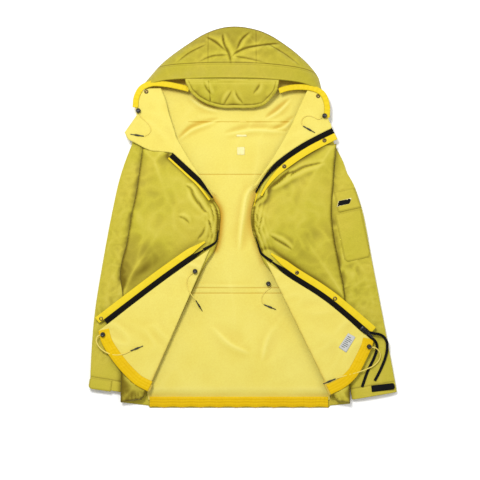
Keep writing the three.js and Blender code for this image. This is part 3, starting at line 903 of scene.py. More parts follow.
def tip_piece(name, cord_end, lead):
    """A moulded cord end along the frame's tip, ribbed where a hand takes it."""
    mesh = node_mesh(cord_end)
    points = np.array([v.co for v in mesh.verts])
    mesh.free()
    centre = points.mean(0)
    along = np.linalg.svd(points - centre)[2][0]
    run = (points - centre) @ along
    ends = [centre + along * run.min(), centre + along * run.max()]
    start, end = sorted(ends, key=lambda p: np.linalg.norm(p - lead))
    length = np.linalg.norm(end - start)
    profile = [(0, 0), (1.45, 0), (1.6, 0.06), (1.55, 0.28), (2.5, 0.40)]
    profile += [(2.6 if k % 2 else 2.25, 0.43 + 0.025 * k) for k in range(8)]
    profile += [(1.5, 0.68), (1.15, 0.74), (1.15, 0.97), (0.8, 1), (0, 1)]
    return lathe(name, scaled(profile, length), PLASTIC, start, 24, end - start, 0.1 * MM)


BARREL = [(0, 0), (5.4, 0), (6.5, 0.9), (6.5, 2.2), (6.1, 2.9), (6.1, 8.6), (6.5, 9.4), (6.4, 11.2),
          (5.7, 13), (4.6, 13), (4.6, 5.6), (0, 5.6)]


def lock_pieces(label, body):
    """A cord lock: the barrel with ribs and a flared foot, and the plunger in its bore."""
    centre = middle(label + "_lock")
    place = (centre.x, centre.y, foot(label + "_lock"))
    piece = lathe(label + "_lock_body", scaled(BARREL), PLASTIC, place)
    finish_piece(piece, body, "plastic", label + "_lock")
    place = (centre.x, centre.y, foot(label + "_plunger"))
    height = (top(label + "_plunger") - foot(label + "_plunger")) / MM
    plunger = [(0, 0), (4.3, 0), (4.3, height - 1.6), (3.9, height - 0.6), (3.0, height),
               (2.2, height - 0.35), (0, height - 0.6)]
    knob = lathe(label + "_lock_button", scaled(plunger), PLASTIC, place)
    finish_piece(knob, label + "_button", "button", label + "_plunger")


def bend_at_fold(points, body, end_body):
    """The bend of a cord from its own middle to a little beyond the fold that it crosses."""
    fold, along = joint("left_front_close")
    across = np.array([-along[1], along[0], 0])
    middle_of_cord = points[len(points) // 2]
    reach = 1.3 * ((fold - middle_of_cord) @ across)
    return body, end_body, middle_of_cord, middle_of_cord + reach * across


def add_cord(label, body, diameter, route, end_body=None):
    """end_body is given where a cord crosses a fold and ends on another body."""
    points = spline(np.array(route) * MM, 1.5 * MM)
    width = diameter * MM
    tip = tip_piece(label + "_cord_tip", label + "_cord_end", points[-1])
    finish_piece(tip, end_body or body, "plastic", label + "_cord_end")
    if end_body:
        piece = cord_tube(label + "_free_cord", points, width)
        finish_piece(piece, bend_at_fold(points, body, end_body), "cord", label + "_cord")
    else:
        piece = cord_curve(label + "_free_cord", points, width)
        finish_piece(piece, body, "cord", label + "_cord")
    lock_pieces(label, body)


for label, facts in CORDS.items():
    add_cord(label, **facts)


# ---- Shapes shared by several panels ----

FRONT_LEVEL = foot("left_front_shell") + CLOTH
TURNED_LEVEL = top("left_flap")
LINING_LEVEL = top("back_lining")
BACK_LEVEL = foot("back_shell") + CLOTH


def between(outline, start, end):
    """The shorter way along an outline from the point nearest start to the point nearest end."""
    first = int(np.argmin(np.linalg.norm(outline - np.asarray(start)[:2], axis=1)))
    last = int(np.argmin(np.linalg.norm(outline - np.asarray(end)[:2], axis=1)))
    forward = np.roll(outline, -first, axis=0)[:(last - first) % len(outline) + 1]
    backward = np.roll(outline, -last, axis=0)[:(first - last) % len(outline) + 1][::-1]
    return forward if len(forward) < len(backward) else backward


# Creases by node: points across its box, then the width of the fold and its rise in millimetres.
CREASES = {
    "left_front_shell": (
        (((0.65, 0.84), (0.70, 0.83), (0.75, 0.79), (0.81, 0.76), (0.85, 0.74), (0.89, 0.73)), 6, -6.5),
        (((0.88, 0.71), (0.90, 0.69), (0.91, 0.68), (0.91, 0.65)), 5, -4.5),
        (((0.92, 0.78), (0.96, 0.75), (0.98, 0.72), (0.99, 0.69)), 3, -3.2),
        (((0.90, 0.77), (0.93, 0.73), (0.96, 0.71)), 3, -2.6),
        (((0.58, 0.72), (0.65, 0.71), (0.70, 0.69)), 5, -2.2),
        (((0.85, 0.68), (0.82, 0.65), (0.77, 0.63)), 5, -2.4),
    ),
    "right_front_shell": (
        (((0.14, 0.84), (0.13, 0.82), (0.12, 0.80), (0.06, 0.78), (0.00, 0.76)), 4, -5.5),
        (((0.01, 0.70), (0.04, 0.66), (0.08, 0.63)), 3, -3.4),
        (((0.04, 0.71), (0.06, 0.68), (0.09, 0.65)), 3, -3.2),
        (((0.11, 0.72), (0.09, 0.69), (0.08, 0.66)), 3, -3.4),
        (((0.05, 0.74), (0.06, 0.72), (0.07, 0.70)), 3, -2.4),
        (((0.18, 0.65), (0.26, 0.63), (0.35, 0.61), (0.42, 0.59)), 5, -3.4),
        (((0.47, 0.90), (0.35, 0.88), (0.26, 0.85), (0.19, 0.83)), 6, -4.2),
        (((0.75, 0.93), (0.63, 0.92), (0.53, 0.91), (0.44, 0.89), (0.32, 0.85)), 6, -3.6),
        (((0.39, 0.90), (0.33, 0.87), (0.24, 0.84)), 5, -3.2),
    ),
    "back_lining": (
        (((0.62, 0.85), (0.55, 0.81), (0.52, 0.71), (0.50, 0.58)), 13, 3.0),
        (((0.18, 1.01), (0.25, 1.05), (0.32, 1.07), (0.40, 1.09)), 6, 2.6),
        (((0.64, 1.09), (0.71, 1.12), (0.78, 1.17)), 6, 2.6),
        (((0.42, 1.03), (0.58, 1.05), (0.76, 1.04)), 9, 2.2),
        (((0.23, 1.18), (0.31, 1.14), (0.40, 1.12)), 7, 2.2),
        (((0.68, 1.05), (0.74, 1.06), (0.80, 1.10)), 6, 2.0),
        (((0.35, 0.29), (0.45, 0.22), (0.56, 0.18)), 18, 2.4),
        (((0.76, 0.35), (0.66, 0.25), (0.62, 0.15)), 16, 2.2),
    ),
    "hood_crown": (
        (((0.44, 0.88), (0.45, 0.70), (0.48, 0.52), (0.49, 0.30)), 7, -5.0),
        (((0.66, 0.68), (0.58, 0.64), (0.52, 0.56), (0.49, 0.48)), 7, -5.0),
        (((0.78, 0.74), (0.69, 0.70), (0.58, 0.64)), 7, -4.0),
        (((0.60, 0.92), (0.55, 0.78), (0.52, 0.60)), 6, -3.4),
        (((0.34, 0.84), (0.40, 0.74), (0.46, 0.58)), 7, -4.0),
        (((0.18, 0.40), (0.25, 0.56), (0.35, 0.70)), 7, -4.0),
        (((0.88, 0.36), (0.80, 0.54), (0.69, 0.72)), 7, -4.0),
        (((0.30, 0.40), (0.38, 0.50), (0.48, 0.52)), 6, -3.0),
        (((0.72, 0.36), (0.62, 0.44), (0.50, 0.50)), 6, -3.4),
    ),
    "hood_visor": (
        (((0.40, 0.10), (0.45, 0.36), (0.50, 0.62)), 4, -2.4),
        (((0.62, 0.16), (0.56, 0.40), (0.53, 0.66)), 4, -2.2),
        (((0.20, 0.95), (0.24, 0.66), (0.30, 0.44)), 5, -2.0),
        (((0.80, 0.92), (0.77, 0.70), (0.72, 0.50)), 5, -2.0),
    ),
}


def creased(x, y, node_name):
    total = np.zeros(np.shape(x))
    for points, width, rise in CREASES[node_name]:
        total = total + crease(x, y, placed(node_name, points), width * MM, rise * MM)
    return total


# How far from its centre line a zip covers the front, with and without a placket beside it.
ZIP_AND_PLACKET = 27 * MM
ZIP_ALONE = 8 * MM


class Side:
    """What the panels of one front share: its outlines, zip lines and the bunched edge between them."""

    def __init__(self, name, mirror):
        self.name = name
        self.mirror = mirror
        self.seed = 3 if name == "left" else 8
        self.fold_start, self.fold_along = joint(name + "_front_close")
        self.front = self.short_of_fold(smooth_outline(plan(name + "_front_shell")))
        self.zip_upper = centre_line(name + "_zip_upper")
        self.zip_lower = centre_line(name + "_zip_lower")
        self.flap = smooth_outline(plan(name + "_flap"))
        self.lapel = smooth_outline(plan(name + "_lapel"))
        self.free = between(self.front, self.zip_upper[-1], self.zip_lower[0])
        self.outer = rails(name + "_front_shell")[0 if name == "left" else 1]

    def short_of_fold(self, outline, gap=7 * MM):
        """The outline with the stretch along the fold moved back from it, out of sight under the flap."""
        start = self.fold_start[:2]
        along = self.fold_along[:2]
        normal = np.array([-along[1], along[0]])
        away = (outline - start) @ normal
        inward = normal * np.sign((outline.mean(0) - start) @ normal)
        near = (np.abs(away) < 4 * MM) * step(start[1] + 190 * MM, start[1] + 150 * MM, outline[:, 1])
        return outline + gap * near[:, None] * inward

    def droop(self, x, y):
        """How far the bunched edge hangs down towards the lining."""
        away, share = to_line(x, y, self.free)
        along = 0.35 + 0.65 * np.sin(math.pi * share)
        return 15 * MM * along * bell(away, 17 * MM)

    def uncovered(self, x, y):
        """Distance into the part of the front that nothing lies over."""
        upper = ZIP_ALONE if self.name == "left" else ZIP_AND_PLACKET
        away = np.minimum(to_line(x, y, self.zip_upper)[0] - upper,
                          to_line(x, y, self.zip_lower)[0] - ZIP_AND_PLACKET)
        covered = inside(x, y, self.flap) | inside(x, y, self.lapel)
        return np.where(covered, 0, np.maximum(away, 0))

    def front_height(self, x, y):
        clear = self.uncovered(x, y)
        away, share = to_line(x, y, self.free)
        edge = to_edge(x, y, self.front)
        reach = np.minimum(clear, edge)
        full = 15 * MM * (1 - np.exp(-((reach / (40 * MM)) ** 1.3)))
        curl = 4.0 * MM * (1 - rounded((1 - edge / (9 * MM)).clip(0, 1)))
        wave = 3.0 * MM * swells(x, y, 120 * MM, self.seed) * step(0, 60 * MM, reach)
        lean = math.radians(90 + 25 * self.mirror)
        ripple = 2.2 * MM * folds(x, y, 85 * MM, lean, 2.6, self.seed + 20, 1.2) * step(0, 40 * MM, clear)
        phase = away / (11 * MM) * 2 * math.pi + 2.2 * noise(share * 4, away / (60 * MM), self.seed)
        pleats = 2.4 * MM * np.sin(phase) * np.sin(math.pi * share) * bell(away, 27 * MM)
        sharp = creased(x, y, self.name + "_front_shell")
        sharp = sharp + 1.6 * MM * crumple(x, y, 95 * MM, self.seed + 40) * step(0, 30 * MM, clear)
        hem = step(self.front[:, 1].min() + 32 * MM, self.front[:, 1].min() + 22 * MM, y)
        puckers = 2.0 * MM * hem * np.abs(noise(x / (8 * MM), y / (40 * MM), self.seed + 60))
        return FRONT_LEVEL + full - curl + wave + ripple + pleats + sharp + puckers - self.droop(x, y)

    def front_tone(self, x, y):
        """Painted shade beside the edges that lie over the front, along its bunched and side edges, and low down,
        with painted light and shade in broad patches.
        """
        over = np.minimum(to_line(x, y, self.zip_upper)[0], to_line(x, y, self.zip_lower)[0])
        start = ZIP_WIDTH / 2 if self.name == "left" else ZIP_WIDTH / 2 + PLACKET_WIDTH
        turned_over = inside(x, y, self.flap) | inside(x, y, self.lapel)
        beside = step(start - 5 * MM, start, over) * ~turned_over
        near = beside * bell((over - start).clip(0), 9 * MM)
        away, share = to_line(x, y, self.free)
        bunched = bell(away, 10 * MM) * np.sin(math.pi * share) ** 0.5
        side_edge = bell(to_line(x, y, self.outer)[0], 12 * MM)
        open_cloth = step(0, 25 * MM, self.uncovered(x, y))
        low = step(-30 * MM, -210 * MM, y) * (1.0 if self.name == "left" else 0.4) * open_cloth
        # Painted light and shade in broad soft patches, as on the facets of the cloth.
        facets = 0.3 * swells(x, y, 105 * MM, self.seed + 70)
        return facets - 0.6 * near - 0.45 * bunched - 0.75 * side_edge - low

    def turned_height(self, x, y):
        wave = 0.9 * MM * swells(x, y, 80 * MM, self.seed + 28)
        ripple = 1.4 * MM * folds(x, y, 55 * MM, math.radians(-35 * self.mirror), 2.2, self.seed + 32, 1.2)
        return TURNED_LEVEL - 0.4 * MM + wave + ripple - self.droop(x, y)

    def turned_tone(self, x, y):
        """Warm shade along the fold that the flap turns over."""
        start = self.fold_start
        along = self.fold_along
        away = np.abs((x - start[0]) * along[1] - (y - start[1]) * along[0])
        return -0.5 * bell(away, 7 * MM) * step(-60 * MM, -100 * MM, y)


LEFT = Side("left", 1)
RIGHT = Side("right", -1)


def smallest_rectangle(outline):
    """Width and length of the smallest rectangle that an outline is cut from."""
    def size(degrees):
        turn = math.radians(degrees)
        along = outline @ (math.cos(turn), math.sin(turn))
        across = outline @ (-math.sin(turn), math.cos(turn))
        return sorted((float(np.ptp(along)), float(np.ptp(across))))

    return min((size(degrees) for degrees in range(0, 90, 3)), key=lambda sides: sides[0] * sides[1])


def declare_sheet(piece, outline, held, *rests_on):
    smallest_rectangle(outline)


# ---- Back: one outer panel and one lining, both running on into the hood ----

# The two bodies of each bend across the hood's hinge, and a point on each side of it.
HOOD_BEND = ("torso", "hood", (0, 0.175, 0), (0, 0.255, 0))


def add_back():
    outline = smooth_outline(splice(plan("back_shell"), plan("hood_back"), 20 * MM))

    def height(x, y):
        return BACK_LEVEL + 0.4 * MM * (1 + swells(x, y, 70 * MM, 5))

    piece = cloth_panel("back_outer", outline, height, (SHELL, SHELL), grid=7 * MM)
    finish_piece(piece, HOOD_BEND, "shell", "back_shell", "hood_back")
    declare_sheet(piece, outline, "laid")


# The lining lies flat below the first level and has its full shape above the second.
LINING_RISES = (-496 * MM, -470 * MM)
# Painted shade darkens it between these, where the brim comes over it.
UNDER_BRIM = (330 * MM, 372 * MM)
# Its seams: how far up each lies, and its left and right ends in millimetres.
LINING_SEAMS = (
    (WAIST_LINE, -158, 152),
    (WAIST_LINE - 15 * MM, -162, 156),
    (YOKE_LINE, -150, 108),
    (NECK_LINE, -150, 128),
)


def near_hardware(x, y):
    """0 on top of the parts that stand on the lining, 1 clear of them."""
    spots = [middle("waist_right_lock"), middle("waist_right_cord"), middle("waist_right_cord_end"),
             middle("waist_left_cord_end")]
    away = np.min([np.hypot(x - p.x, y - p.y) for p in spots], axis=0)
    return step(18 * MM, 130 * MM, away)


def lining_height(x, y):
    broad = 2.4 * MM * (1 + swells(x, y, 150 * MM, 41))
    diagonal = 1.6 * MM * folds(x, y, 90 * MM, math.radians(62), 3.0, 47, 1.2)
    sharp = creased(x, y, "back_lining")
    waist = 1.6 * MM * step(9 * MM, 0, np.abs(y - WAIST_LINE - 3 * MM))
    inside_hem = step(*LINING_RISES, y)
    return LINING_LEVEL + near_hardware(x, y) * inside_hem * (broad + diagonal + sharp + waist + 2 * MM)


def lining_tone(x, y):
    """Warm shade beside the bunched edges and under the brim."""
    left = to_line(x, y, LEFT.free)[0]
    right = to_line(x, y, RIGHT.free)[0]
    beside = bell(left, 11 * MM) + 0.5 * bell(right, 11 * MM)
    return -1.0 * beside - 0.6 * step(*UNDER_BRIM, y)


def add_lining():
    hood = plan("hood_back")
    centre = hood.mean(0)
    hood = centre + (hood - centre) * 0.965
    outline = smooth_outline(splice(plan("back_lining"), hood, 26 * MM))
    lines = [[(left * MM, level), (right * MM, level)] for level, left, right in LINING_SEAMS]
    piece = cloth_panel("body_lining", outline, lining_height, (LINING, LINING), lines=lines,
                        tone=lining_tone)
    finish_piece(piece, HOOD_BEND, "lining", "back_lining")
    declare_sheet(piece, outline, "laid", "back_outer")


def add_hem_band():
    """The gathered band along the back hem: ribs along it, puckers across it."""
    low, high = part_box("back_shell")
    left = low.x + 80 * MM
    right = high.x - 60 * MM
    columns = 420
    rows = 14

    def point(u, v):
        x = left + (right - left) * u
        y = low.y + 1.0 * MM + 31 * MM * v + 1.2 * MM * np.sin(u * 61) * (1 - v)
        pucker = 2.8 * MM * np.abs(noise(x / (7 * MM), y / (40 * MM), 71))
        rib = 0.6 * MM * np.cos(v * 4 * math.pi) ** 2
        full = (4.6 * MM + (pucker + rib)) * rounded(2 * v - 1, 6)
        return np.column_stack([x, y, BACK_LEVEL + 1.2 * MM + full])

    verts, faces = surface(columns, rows, point)
    v = np.repeat(np.arange(rows + 1) / rows, columns + 1)
    tone = -0.5 * np.cos(v * 4 * math.pi) ** 8
    finish_piece(make("back_hem_band", verts, faces, (HEM, HEM), tone=tone), "torso", "hem_band")


add_back()
add_lining()
add_hem_band()


# ---- Sleeves ----

FLATNESS = 0.62
SLEEVE_TUCK = 16 * MM
CUFF_THICKNESS = 19.0 * MM


def sleeve_height(x, y, seed):
    ripple = 1.4 * MM * folds(x, y, 46 * MM, math.radians(80), 3.0, seed, 1.4)
    elbow = folds(x, y, 30 * MM, math.radians(25), 2.2, seed + 7, 1.5) * step(-260 * MM, -190 * MM, y)
    elbow = 1.2 * MM * elbow * step(-40 * MM, -110 * MM, y)
    handled = 1.1 * MM * crumple(x, y, 58 * MM, seed + 4)
    wave = 1.2 * MM * swells(x, y, 80 * MM, seed + 2)
    return ripple + handled + wave + elbow - 1.0 * MM


def add_sleeve(side, body, seed):
    left, right = rails(side + "_sleeve")
    centre = (left + right) / 2
    half = np.linalg.norm(right - left, axis=1) / 2
    up = unit((centre[0] - centre[4])[None])[0]
    centre = np.vstack([centre[:1] + SLEEVE_TUCK * up, centre])
    half = np.concatenate([half[:1] * 0.96, half])
    travel = unit(np.gradient(centre, axis=0))
    across = np.column_stack([-travel[:, 1], travel[:, 0]])
    share = np.linspace(0, 1, len(centre))
    shoulder = top(side + "_sleeve")
    columns = 110
    rows = 300

    def point(u, v):
        def along(values):
            return np.interp(v, share, values)

        height = shoulder + (CUFF_THICKNESS - shoulder) * v
        turn = 2 * math.pi * u
        c = np.cos(turn)
        s = np.sin(turn)
        out = along(half) * np.sign(c) * np.abs(c) ** FLATNESS
        rise = height / 2 * np.sign(s) * np.abs(s) ** FLATNESS
        x = along(centre[:, 0]) + out * along(across[:, 0])
        y = along(centre[:, 1]) + out * along(across[:, 1])
        wrinkle = sleeve_height(x, y, seed) * step(0.1, 0.6, s) * (1 - 0.8 * step(0.84, 0.92, v))
        band = 0.9 * MM * step(0.955, 0.962, v)
        return np.column_stack([x, y, height / 2 + rise + wrinkle + band * np.abs(s)])

    verts, faces = surface(columns, rows, point, wrap=True)
    v = np.repeat(np.arange(rows + 1) / rows, columns)
    # Darker along the cuff band, painted shade in the hollows and a painted highlight on the folds of its upper
    # side, and painted shade beside the front's outer edge.
    tone = -0.7 * bell(v - 0.958, 0.002)
    tone = tone + cavity(verts, faces) * step(0, 2 * MM, verts[:, 2] - 12 * MM)
    front = LEFT if side == "left" else RIGHT
    beside = to_line(verts[:, 0], verts[:, 1], front.outer)[0]
    tone = tone - 0.6 * bell(beside, 9 * MM)
    piece = make(side + "_sleeve_cloth", verts, faces, (SHELL, LINING), tone=tone)
    hinge = joint(side + "_sleeve_swing")[0]
    bend = ("torso", body, hinge + (0, 0.012, 0), hinge - (0, 0.055, 0))
    return finish_piece(piece, bend, "shell", side + "_sleeve")


add_sleeve("left", "left_sleeve_body", 61)
RIGHT_SLEEVE = add_sleeve("right", "right_sleeve_body", 66)


# ---- Fronts, lapels and turned-out flaps ----

def add_front(side):
    piece = cloth_panel(side.name + "_front_panel", side.front, side.front_height, (SHELL, LINING),
                        tone=side.front_tone)
    finish_piece(piece, "torso", "shell", side.name + "_front_shell")
    declare_sheet(piece, side.front, "gathered", "body_lining", side.name + "_sleeve_cloth")


def add_lapel(side, reach, bend):
    outline = smooth_outline(splice(plan(side.name + "_lapel"), plan(side.name + "_hood_side"), reach))
    piece = cloth_panel(side.name + "_lapel_panel", outline, side.turned_height, (LINING, SHELL))
    finish_piece(piece, bend, "lining", side.name + "_lapel", side.name + "_hood_side")
    declare_sheet(piece, outline, "folded", side.name + "_front_panel")


def add_flap(side):
    start = side.fold_start
    along = side.fold_along
    outline = side.flap.copy()
    run = (outline - start[:2]) @ along[:2]
    foot_points = start[:2] + run[:, None] * along[:2]
    near = np.linalg.norm(outline - foot_points, axis=1) < 2.6 * MM
    outline[near] = foot_points[near]
    piece = cloth_panel(side.name + "_flap_panel", outline, side.turned_height, (LINING, SHELL),
                        roll=(start, along, math.radians(165)), tone=side.turned_tone)
    finish_piece(piece, side.name + "_front_turned", "lining", side.name + "_flap")
    declare_sheet(piece, outline, "folded", side.name + "_front_panel")


def ribbon_strip(name, line, height, half_width, profile, finishes, spacing, columns):
    """A strip along a plan line. profile(across, along) raises it above height(x, y).

    half_width is a length, or a function of how far along the line a point is, 0 to 1.
    """
    line = evenly(np.asarray(line)[:, :2], spacing)
    tangent = unit(np.gradient(line, axis=0))
    side = np.column_stack([tangent[:, 1], -tangent[:, 0]])
    rows = len(line) - 1

    def point(u, v):
        k = np.clip(np.round(v * rows).astype(int), 0, rows)
        reach = half_width(v) if callable(half_width) else half_width
        across = (2 * u - 1) * reach
        x = line[k, 0] + across * side[k, 0]
        y = line[k, 1] + across * side[k, 1]
        return np.column_stack([x, y, height(x, y) + profile(across, k * spacing)])

    verts, faces = surface(columns, rows, point)
    return make(name, verts, facing_up(verts, faces), finishes, 0.8 * MM)


# A lower zip stops short of its last point, and its narrow end goes on from there to the bunched edge.
LINE_STEP = 2 * MM
ZIP_SHORT = 16 * MM
TAIL_JOINS = 20 * MM


def taper(node_name, half_width):
    """Half the width along a zip or placket, which turns on edge and looks narrow near the bunched edge."""
    if node_name.endswith("upper"):
        return lambda v: half_width * (1 - 0.68 * step(0.5, 1, v))
    return lambda v: half_width * (1 - 0.7 * step(0.16, 0, v))


def zip_section(across, along):
    """The height of a zip across its tape, with teeth along its middle."""
    chain = bell(across, 2.1 * MM, 4)
    teeth = 0.5 + 0.5 * np.cos(along / ZIP_PITCH * 2 * math.pi)
    edge = step(0, 1.2 * MM, ZIP_WIDTH / 2 - np.abs(across))
    return (0.9 * edge + chain * (1.3 + 0.8 * teeth)) * MM


def placket_section(across, along):
    """The height of a placket across its width, with a line of stitches along each edge."""
    edge = rounded(np.abs(across) / (PLACKET_WIDTH / 2), 8)
    stitch = bell(np.abs(across) - 6.6 * MM, 0.9 * MM)
    ease = 0.5 * noise(along / (16 * MM), across / (30 * MM), 90)
    return (1.1 * edge - 0.5 * stitch + ease) * MM


def add_zip(side, node_name, place):
    line = centre_line(node_name)
    if node_name.endswith("lower"):
        line = evenly(line[:, :2], LINE_STEP)[int(ZIP_SHORT / LINE_STEP):]
    half_width = taper(node_name, ZIP_WIDTH / 2)
    piece = ribbon_strip(node_name + "_chain", line, side.turned_height, half_width, zip_section,
                         (ZIP_TAPE, ZIP_TAPE), 0.65 * MM, 14)
    finish_piece(piece, place, "zip", node_name)


def add_placket(side, node_name, place):
    half_width = taper(node_name, PLACKET_WIDTH / 2)
    piece = ribbon_strip(node_name + "_cloth", centre_line(node_name), side.turned_height, half_width,
                         placket_section, (FACING, SHELL), 2.0 * MM, 16)
    finish_piece(piece, place, "facing", node_name)


def add_flap_band(side):
    """The gathered hem band along a flap's lower edge."""
    outline = side.flap
    low_end = outline[np.argmin(outline[:, 1])]
    far_end = outline[np.argmin(outline[:, 0] * side.mirror)]
    edge = between(outline, far_end, low_end)
    centre = outline.mean(0)
    inward = offset(edge, HEM_BAND / 2)
    if np.linalg.norm(inward - centre, axis=1).mean() > np.linalg.norm(edge - centre, axis=1).mean():
        inward = offset(edge, -HEM_BAND / 2)

    def profile(across, along):
        v = np.abs(across) / (HEM_BAND / 2)
        pucker = 1.6 * np.abs(noise(along / (8 * MM), across / (22 * MM), 75))
        under_ribbon = 0.3 + 0.7 * step(8 * MM, 28 * MM, along)
        full = 0.7 + (1.6 + pucker) * rounded(v, 6) + 0.7 * np.cos(v * 2 * math.pi) ** 2
        return full * under_ribbon * MM

    piece = ribbon_strip(side.name + "_flap_hem_band", inward, side.turned_height, HEM_BAND / 2, profile,
                         (HEM, HEM), 1.6 * MM, 16)
    finish_piece(piece, side.name + "_front_turned", "hem_band")


LEFT_BEND = ("torso", "hood", (-0.25, 0.198, 0.034), (-0.25, 0.236, 0.034))
RIGHT_BEND = ("torso", "hood", (0.222, 0.214, 0.034), (0.2123, 0.2476, 0.034))
for side in (LEFT, RIGHT):
    add_front(side)
    add_flap(side)
    add_flap_band(side)
    add_zip(side, side.name + "_zip_lower", side.name + "_front_turned")
    add_placket(side, side.name + "_placket_lower", side.name + "_front_turned")
add_lapel(LEFT, 6 * MM, LEFT_BEND)
add_lapel(RIGHT, 14 * MM, RIGHT_BEND)
add_zip(LEFT, "left_zip_upper", "torso")
add_zip(RIGHT, "right_zip_upper", RIGHT_BEND)
add_placket(RIGHT, "right_placket_upper", RIGHT_BEND)


# ---- Hood ----

# The share of the crown's length at which it turns over its brim, and the places of its two long seams.
TURN_OVER = 0.94
CROWN_SEAMS = (at("hood_crown", 0.36, 0)[0], at("hood_crown", 0.63, 0)[0])


def crown_rails():
    """The crown's outline on the floor and its brim, both from left to right."""
    brim, rim = sorted(long_sides("hood_crown"), key=lambda part: part[:, 1].mean())
    return [spline(part if part[0][0] < part[-1][0] else part[::-1]) for part in (rim, brim)]


def add_crown():
    columns = 240
    rows = 96
    rim, brim = [evenly(line, count=columns + 1) for line in crown_rails()]
    centre = (brim[0, 0] + brim[-1, 0]) / 2
    half = (brim[-1, 0] - brim[0, 0]) / 2
    peak = top("hood_crown")
    side_height = peak / 2

    def brim_height(x):
        return side_height + (peak - side_height) * np.clip(1 - ((x - centre) / half) ** 2, 0, 1) ** 0.7

    def point(u, v):
        """v runs from the floor up to the brim, and then a little way over it."""
        k = np.round(u * columns).astype(int)
        inner = np.clip(v / TURN_OVER, 0, 1)
        over = np.clip((v - TURN_OVER) / (1 - TURN_OVER), 0, 1)
        x = rim[k, 0] + (brim[k, 0] - rim[k, 0]) * inner
        y = rim[k, 1] + (brim[k, 1] - rim[k, 1]) * inner
        away = np.hypot(x - brim[k, 0], y - brim[k, 1])
        loose = 2.2 * MM * crumple(x, y, 85 * MM, 101) + 3.2 * MM * swells(x, y, 95 * MM, 109)
        loose = loose + creased(x, y, "hood_crown") - 2 * MM
        z = brim_height(brim[k, 0]) * np.sin(inner * math.pi / 2) ** 0.75
        z = z + loose * step(0, 0.2, inner) * step(0, 0.12, 1 - inner) * step(30 * MM, 60 * MM, away)
        z = z + 0.5 * MM * crumple(x, y, 60 * MM, 113) * step(0, 0.2, inner)
        groove = bell(away - BRIM_BAND, 1.4 * MM) + bell(away - BRIM_BAND + 5 * MM, 1.4 * MM)
        for seam in CROWN_SEAMS:
            groove = groove + bell(x - seam, 1.6 * MM) * (away > BRIM_BAND)
        z = z - 0.9 * MM * groove * (over == 0) - 7 * MM * over**1.5
        y = y - 3.0 * MM * np.sin(over * math.pi / 2)
        return np.column_stack([x, y, np.maximum(z, CLOTH)])

    verts, faces = surface(columns, rows, point)
    away = np.linalg.norm(verts[:, :2] - np.tile(brim, (rows + 1, 1)), axis=1)
    # Painted shade in the hollows and a painted highlight on the folds, darker along the brim band's seam, and
    # painted shade over the whole crown, deeper away from the brim.
    tone = 0.6 * cavity(verts, faces) - 0.5 * bell(away - BRIM_BAND, 1.6 * MM)
    tone = tone - 0.22 - 0.25 * step(BRIM_BAND, BRIM_BAND + 90 * MM, away)
    faces = facing_up(verts, faces)
    piece = make("crown_cloth", verts, faces, (SHELL, LINING), tone=tone)
    finish_piece(piece, "hood", "shell", "hood_crown")


def add_visor():
    outline = smooth_outline(plan("hood_visor"))
    tucked = step(outline[:, 1].max() - 8 * MM, outline[:, 1].max() - 2 * MM, outline[:, 1])
    outline[:, 1] += 9 * MM * tucked
    base = height_of("hood_visor")

    def height(x, y):
        edge = to_edge(x, y, outline)
        soft = 1.6 * MM * swells(x, y, 55 * MM, 121) + creased(x, y, "hood_visor")
        return base(x, y) - 1 * MM + soft * step(0, 15 * MM, edge)

    low = outline[outline[:, 1] < outline[:, 1].max() - 12 * MM]
    line = offset(low[np.argsort(low[:, 0])], 9 * MM)
    seam = placed("hood_visor", [(0.25, 0.98), (0.27, 0.25)])
    piece = cloth_panel("visor_cloth", outline, height, (SHELL, LINING), lines=[line, seam])
    finish_piece(piece, "visor", "shell", "hood_visor")


add_crown()
add_visor()


# ---- Snaps ----

SNAP = [(0, 0), (5.6, 0), (5.9, 0.5), (5.6, 1.4), (4.6, 2.1), (3.4, 2.2), (2.7, 1.4), (2.3, 0.9), (1.2, 0.8),
        (0, 0.8)]


def snap_cap(name, place):
    return lathe(name, scaled(SNAP), BRASS, place, 36, bevel=0.15 * MM)


def add_snap(node_name, body):
    centre = middle(node_name)
    piece = snap_cap(node_name + "_cap", (centre.x, centre.y, foot(node_name)))
    finish_piece(piece, body, "snap", node_name)


for body, members in frame["record"]["behaviour"]["bodies"].items():
    for member in members:
        if member.startswith("snap_"):
            add_snap(member, body)

def kept_inside(outline, limit, margin=1.5 * MM):
    """The outline with whatever reaches past limit brought back to it."""
    outside = ~inside(*outline.T, limit)
    limit = closed_line(limit)
    centre = limit.mean(0)
    kept = outline.copy()
    for i in np.flatnonzero(outside):
        nearest = limit[np.argmin(np.linalg.norm(limit - outline[i], axis=1))]
        kept[i] = nearest + margin * (centre - nearest) / np.linalg.norm(centre - nearest)
    return kept


def patch(name, outline, height, lift, finish, body, slot, *replaced, lines=(), thickness=1.0):
    """A small flat piece lying on the surface height(x, y), its upper side lift millimetres above it."""
    points, faces = cut(outline, lines, PATCH_GRID)
    x, y = points.T
    pull, dark = seams(x, y, lines, 0.35 * MM, 0.9 * MM)
    crown = 0.5 * MM * step(0, 2.2 * MM, to_edge(x, y, outline))
    verts = np.column_stack([x, y, height(x, y) + lift * MM + crown + pull])
    piece = make(name, verts, faces, (finish, finish), thickness * MM, dark)
    return finish_piece(piece, body, slot, *replaced)


def inset(outline, distance):
    """The outline moved inwards, as an open line of stitches."""
    outline = outline[np.linalg.norm(outline - np.roll(outline, 1, axis=0), axis=1) > 1e-9]
    inner = offset(closed_line(outline), distance)
    within = inside(*inner.T, outline)
    return inner[within] if within.mean() > 0.5 else offset(closed_line(outline), -distance)


# ---- Sleeve pocket, its flap and badge, cuff tab and cuff strap ----

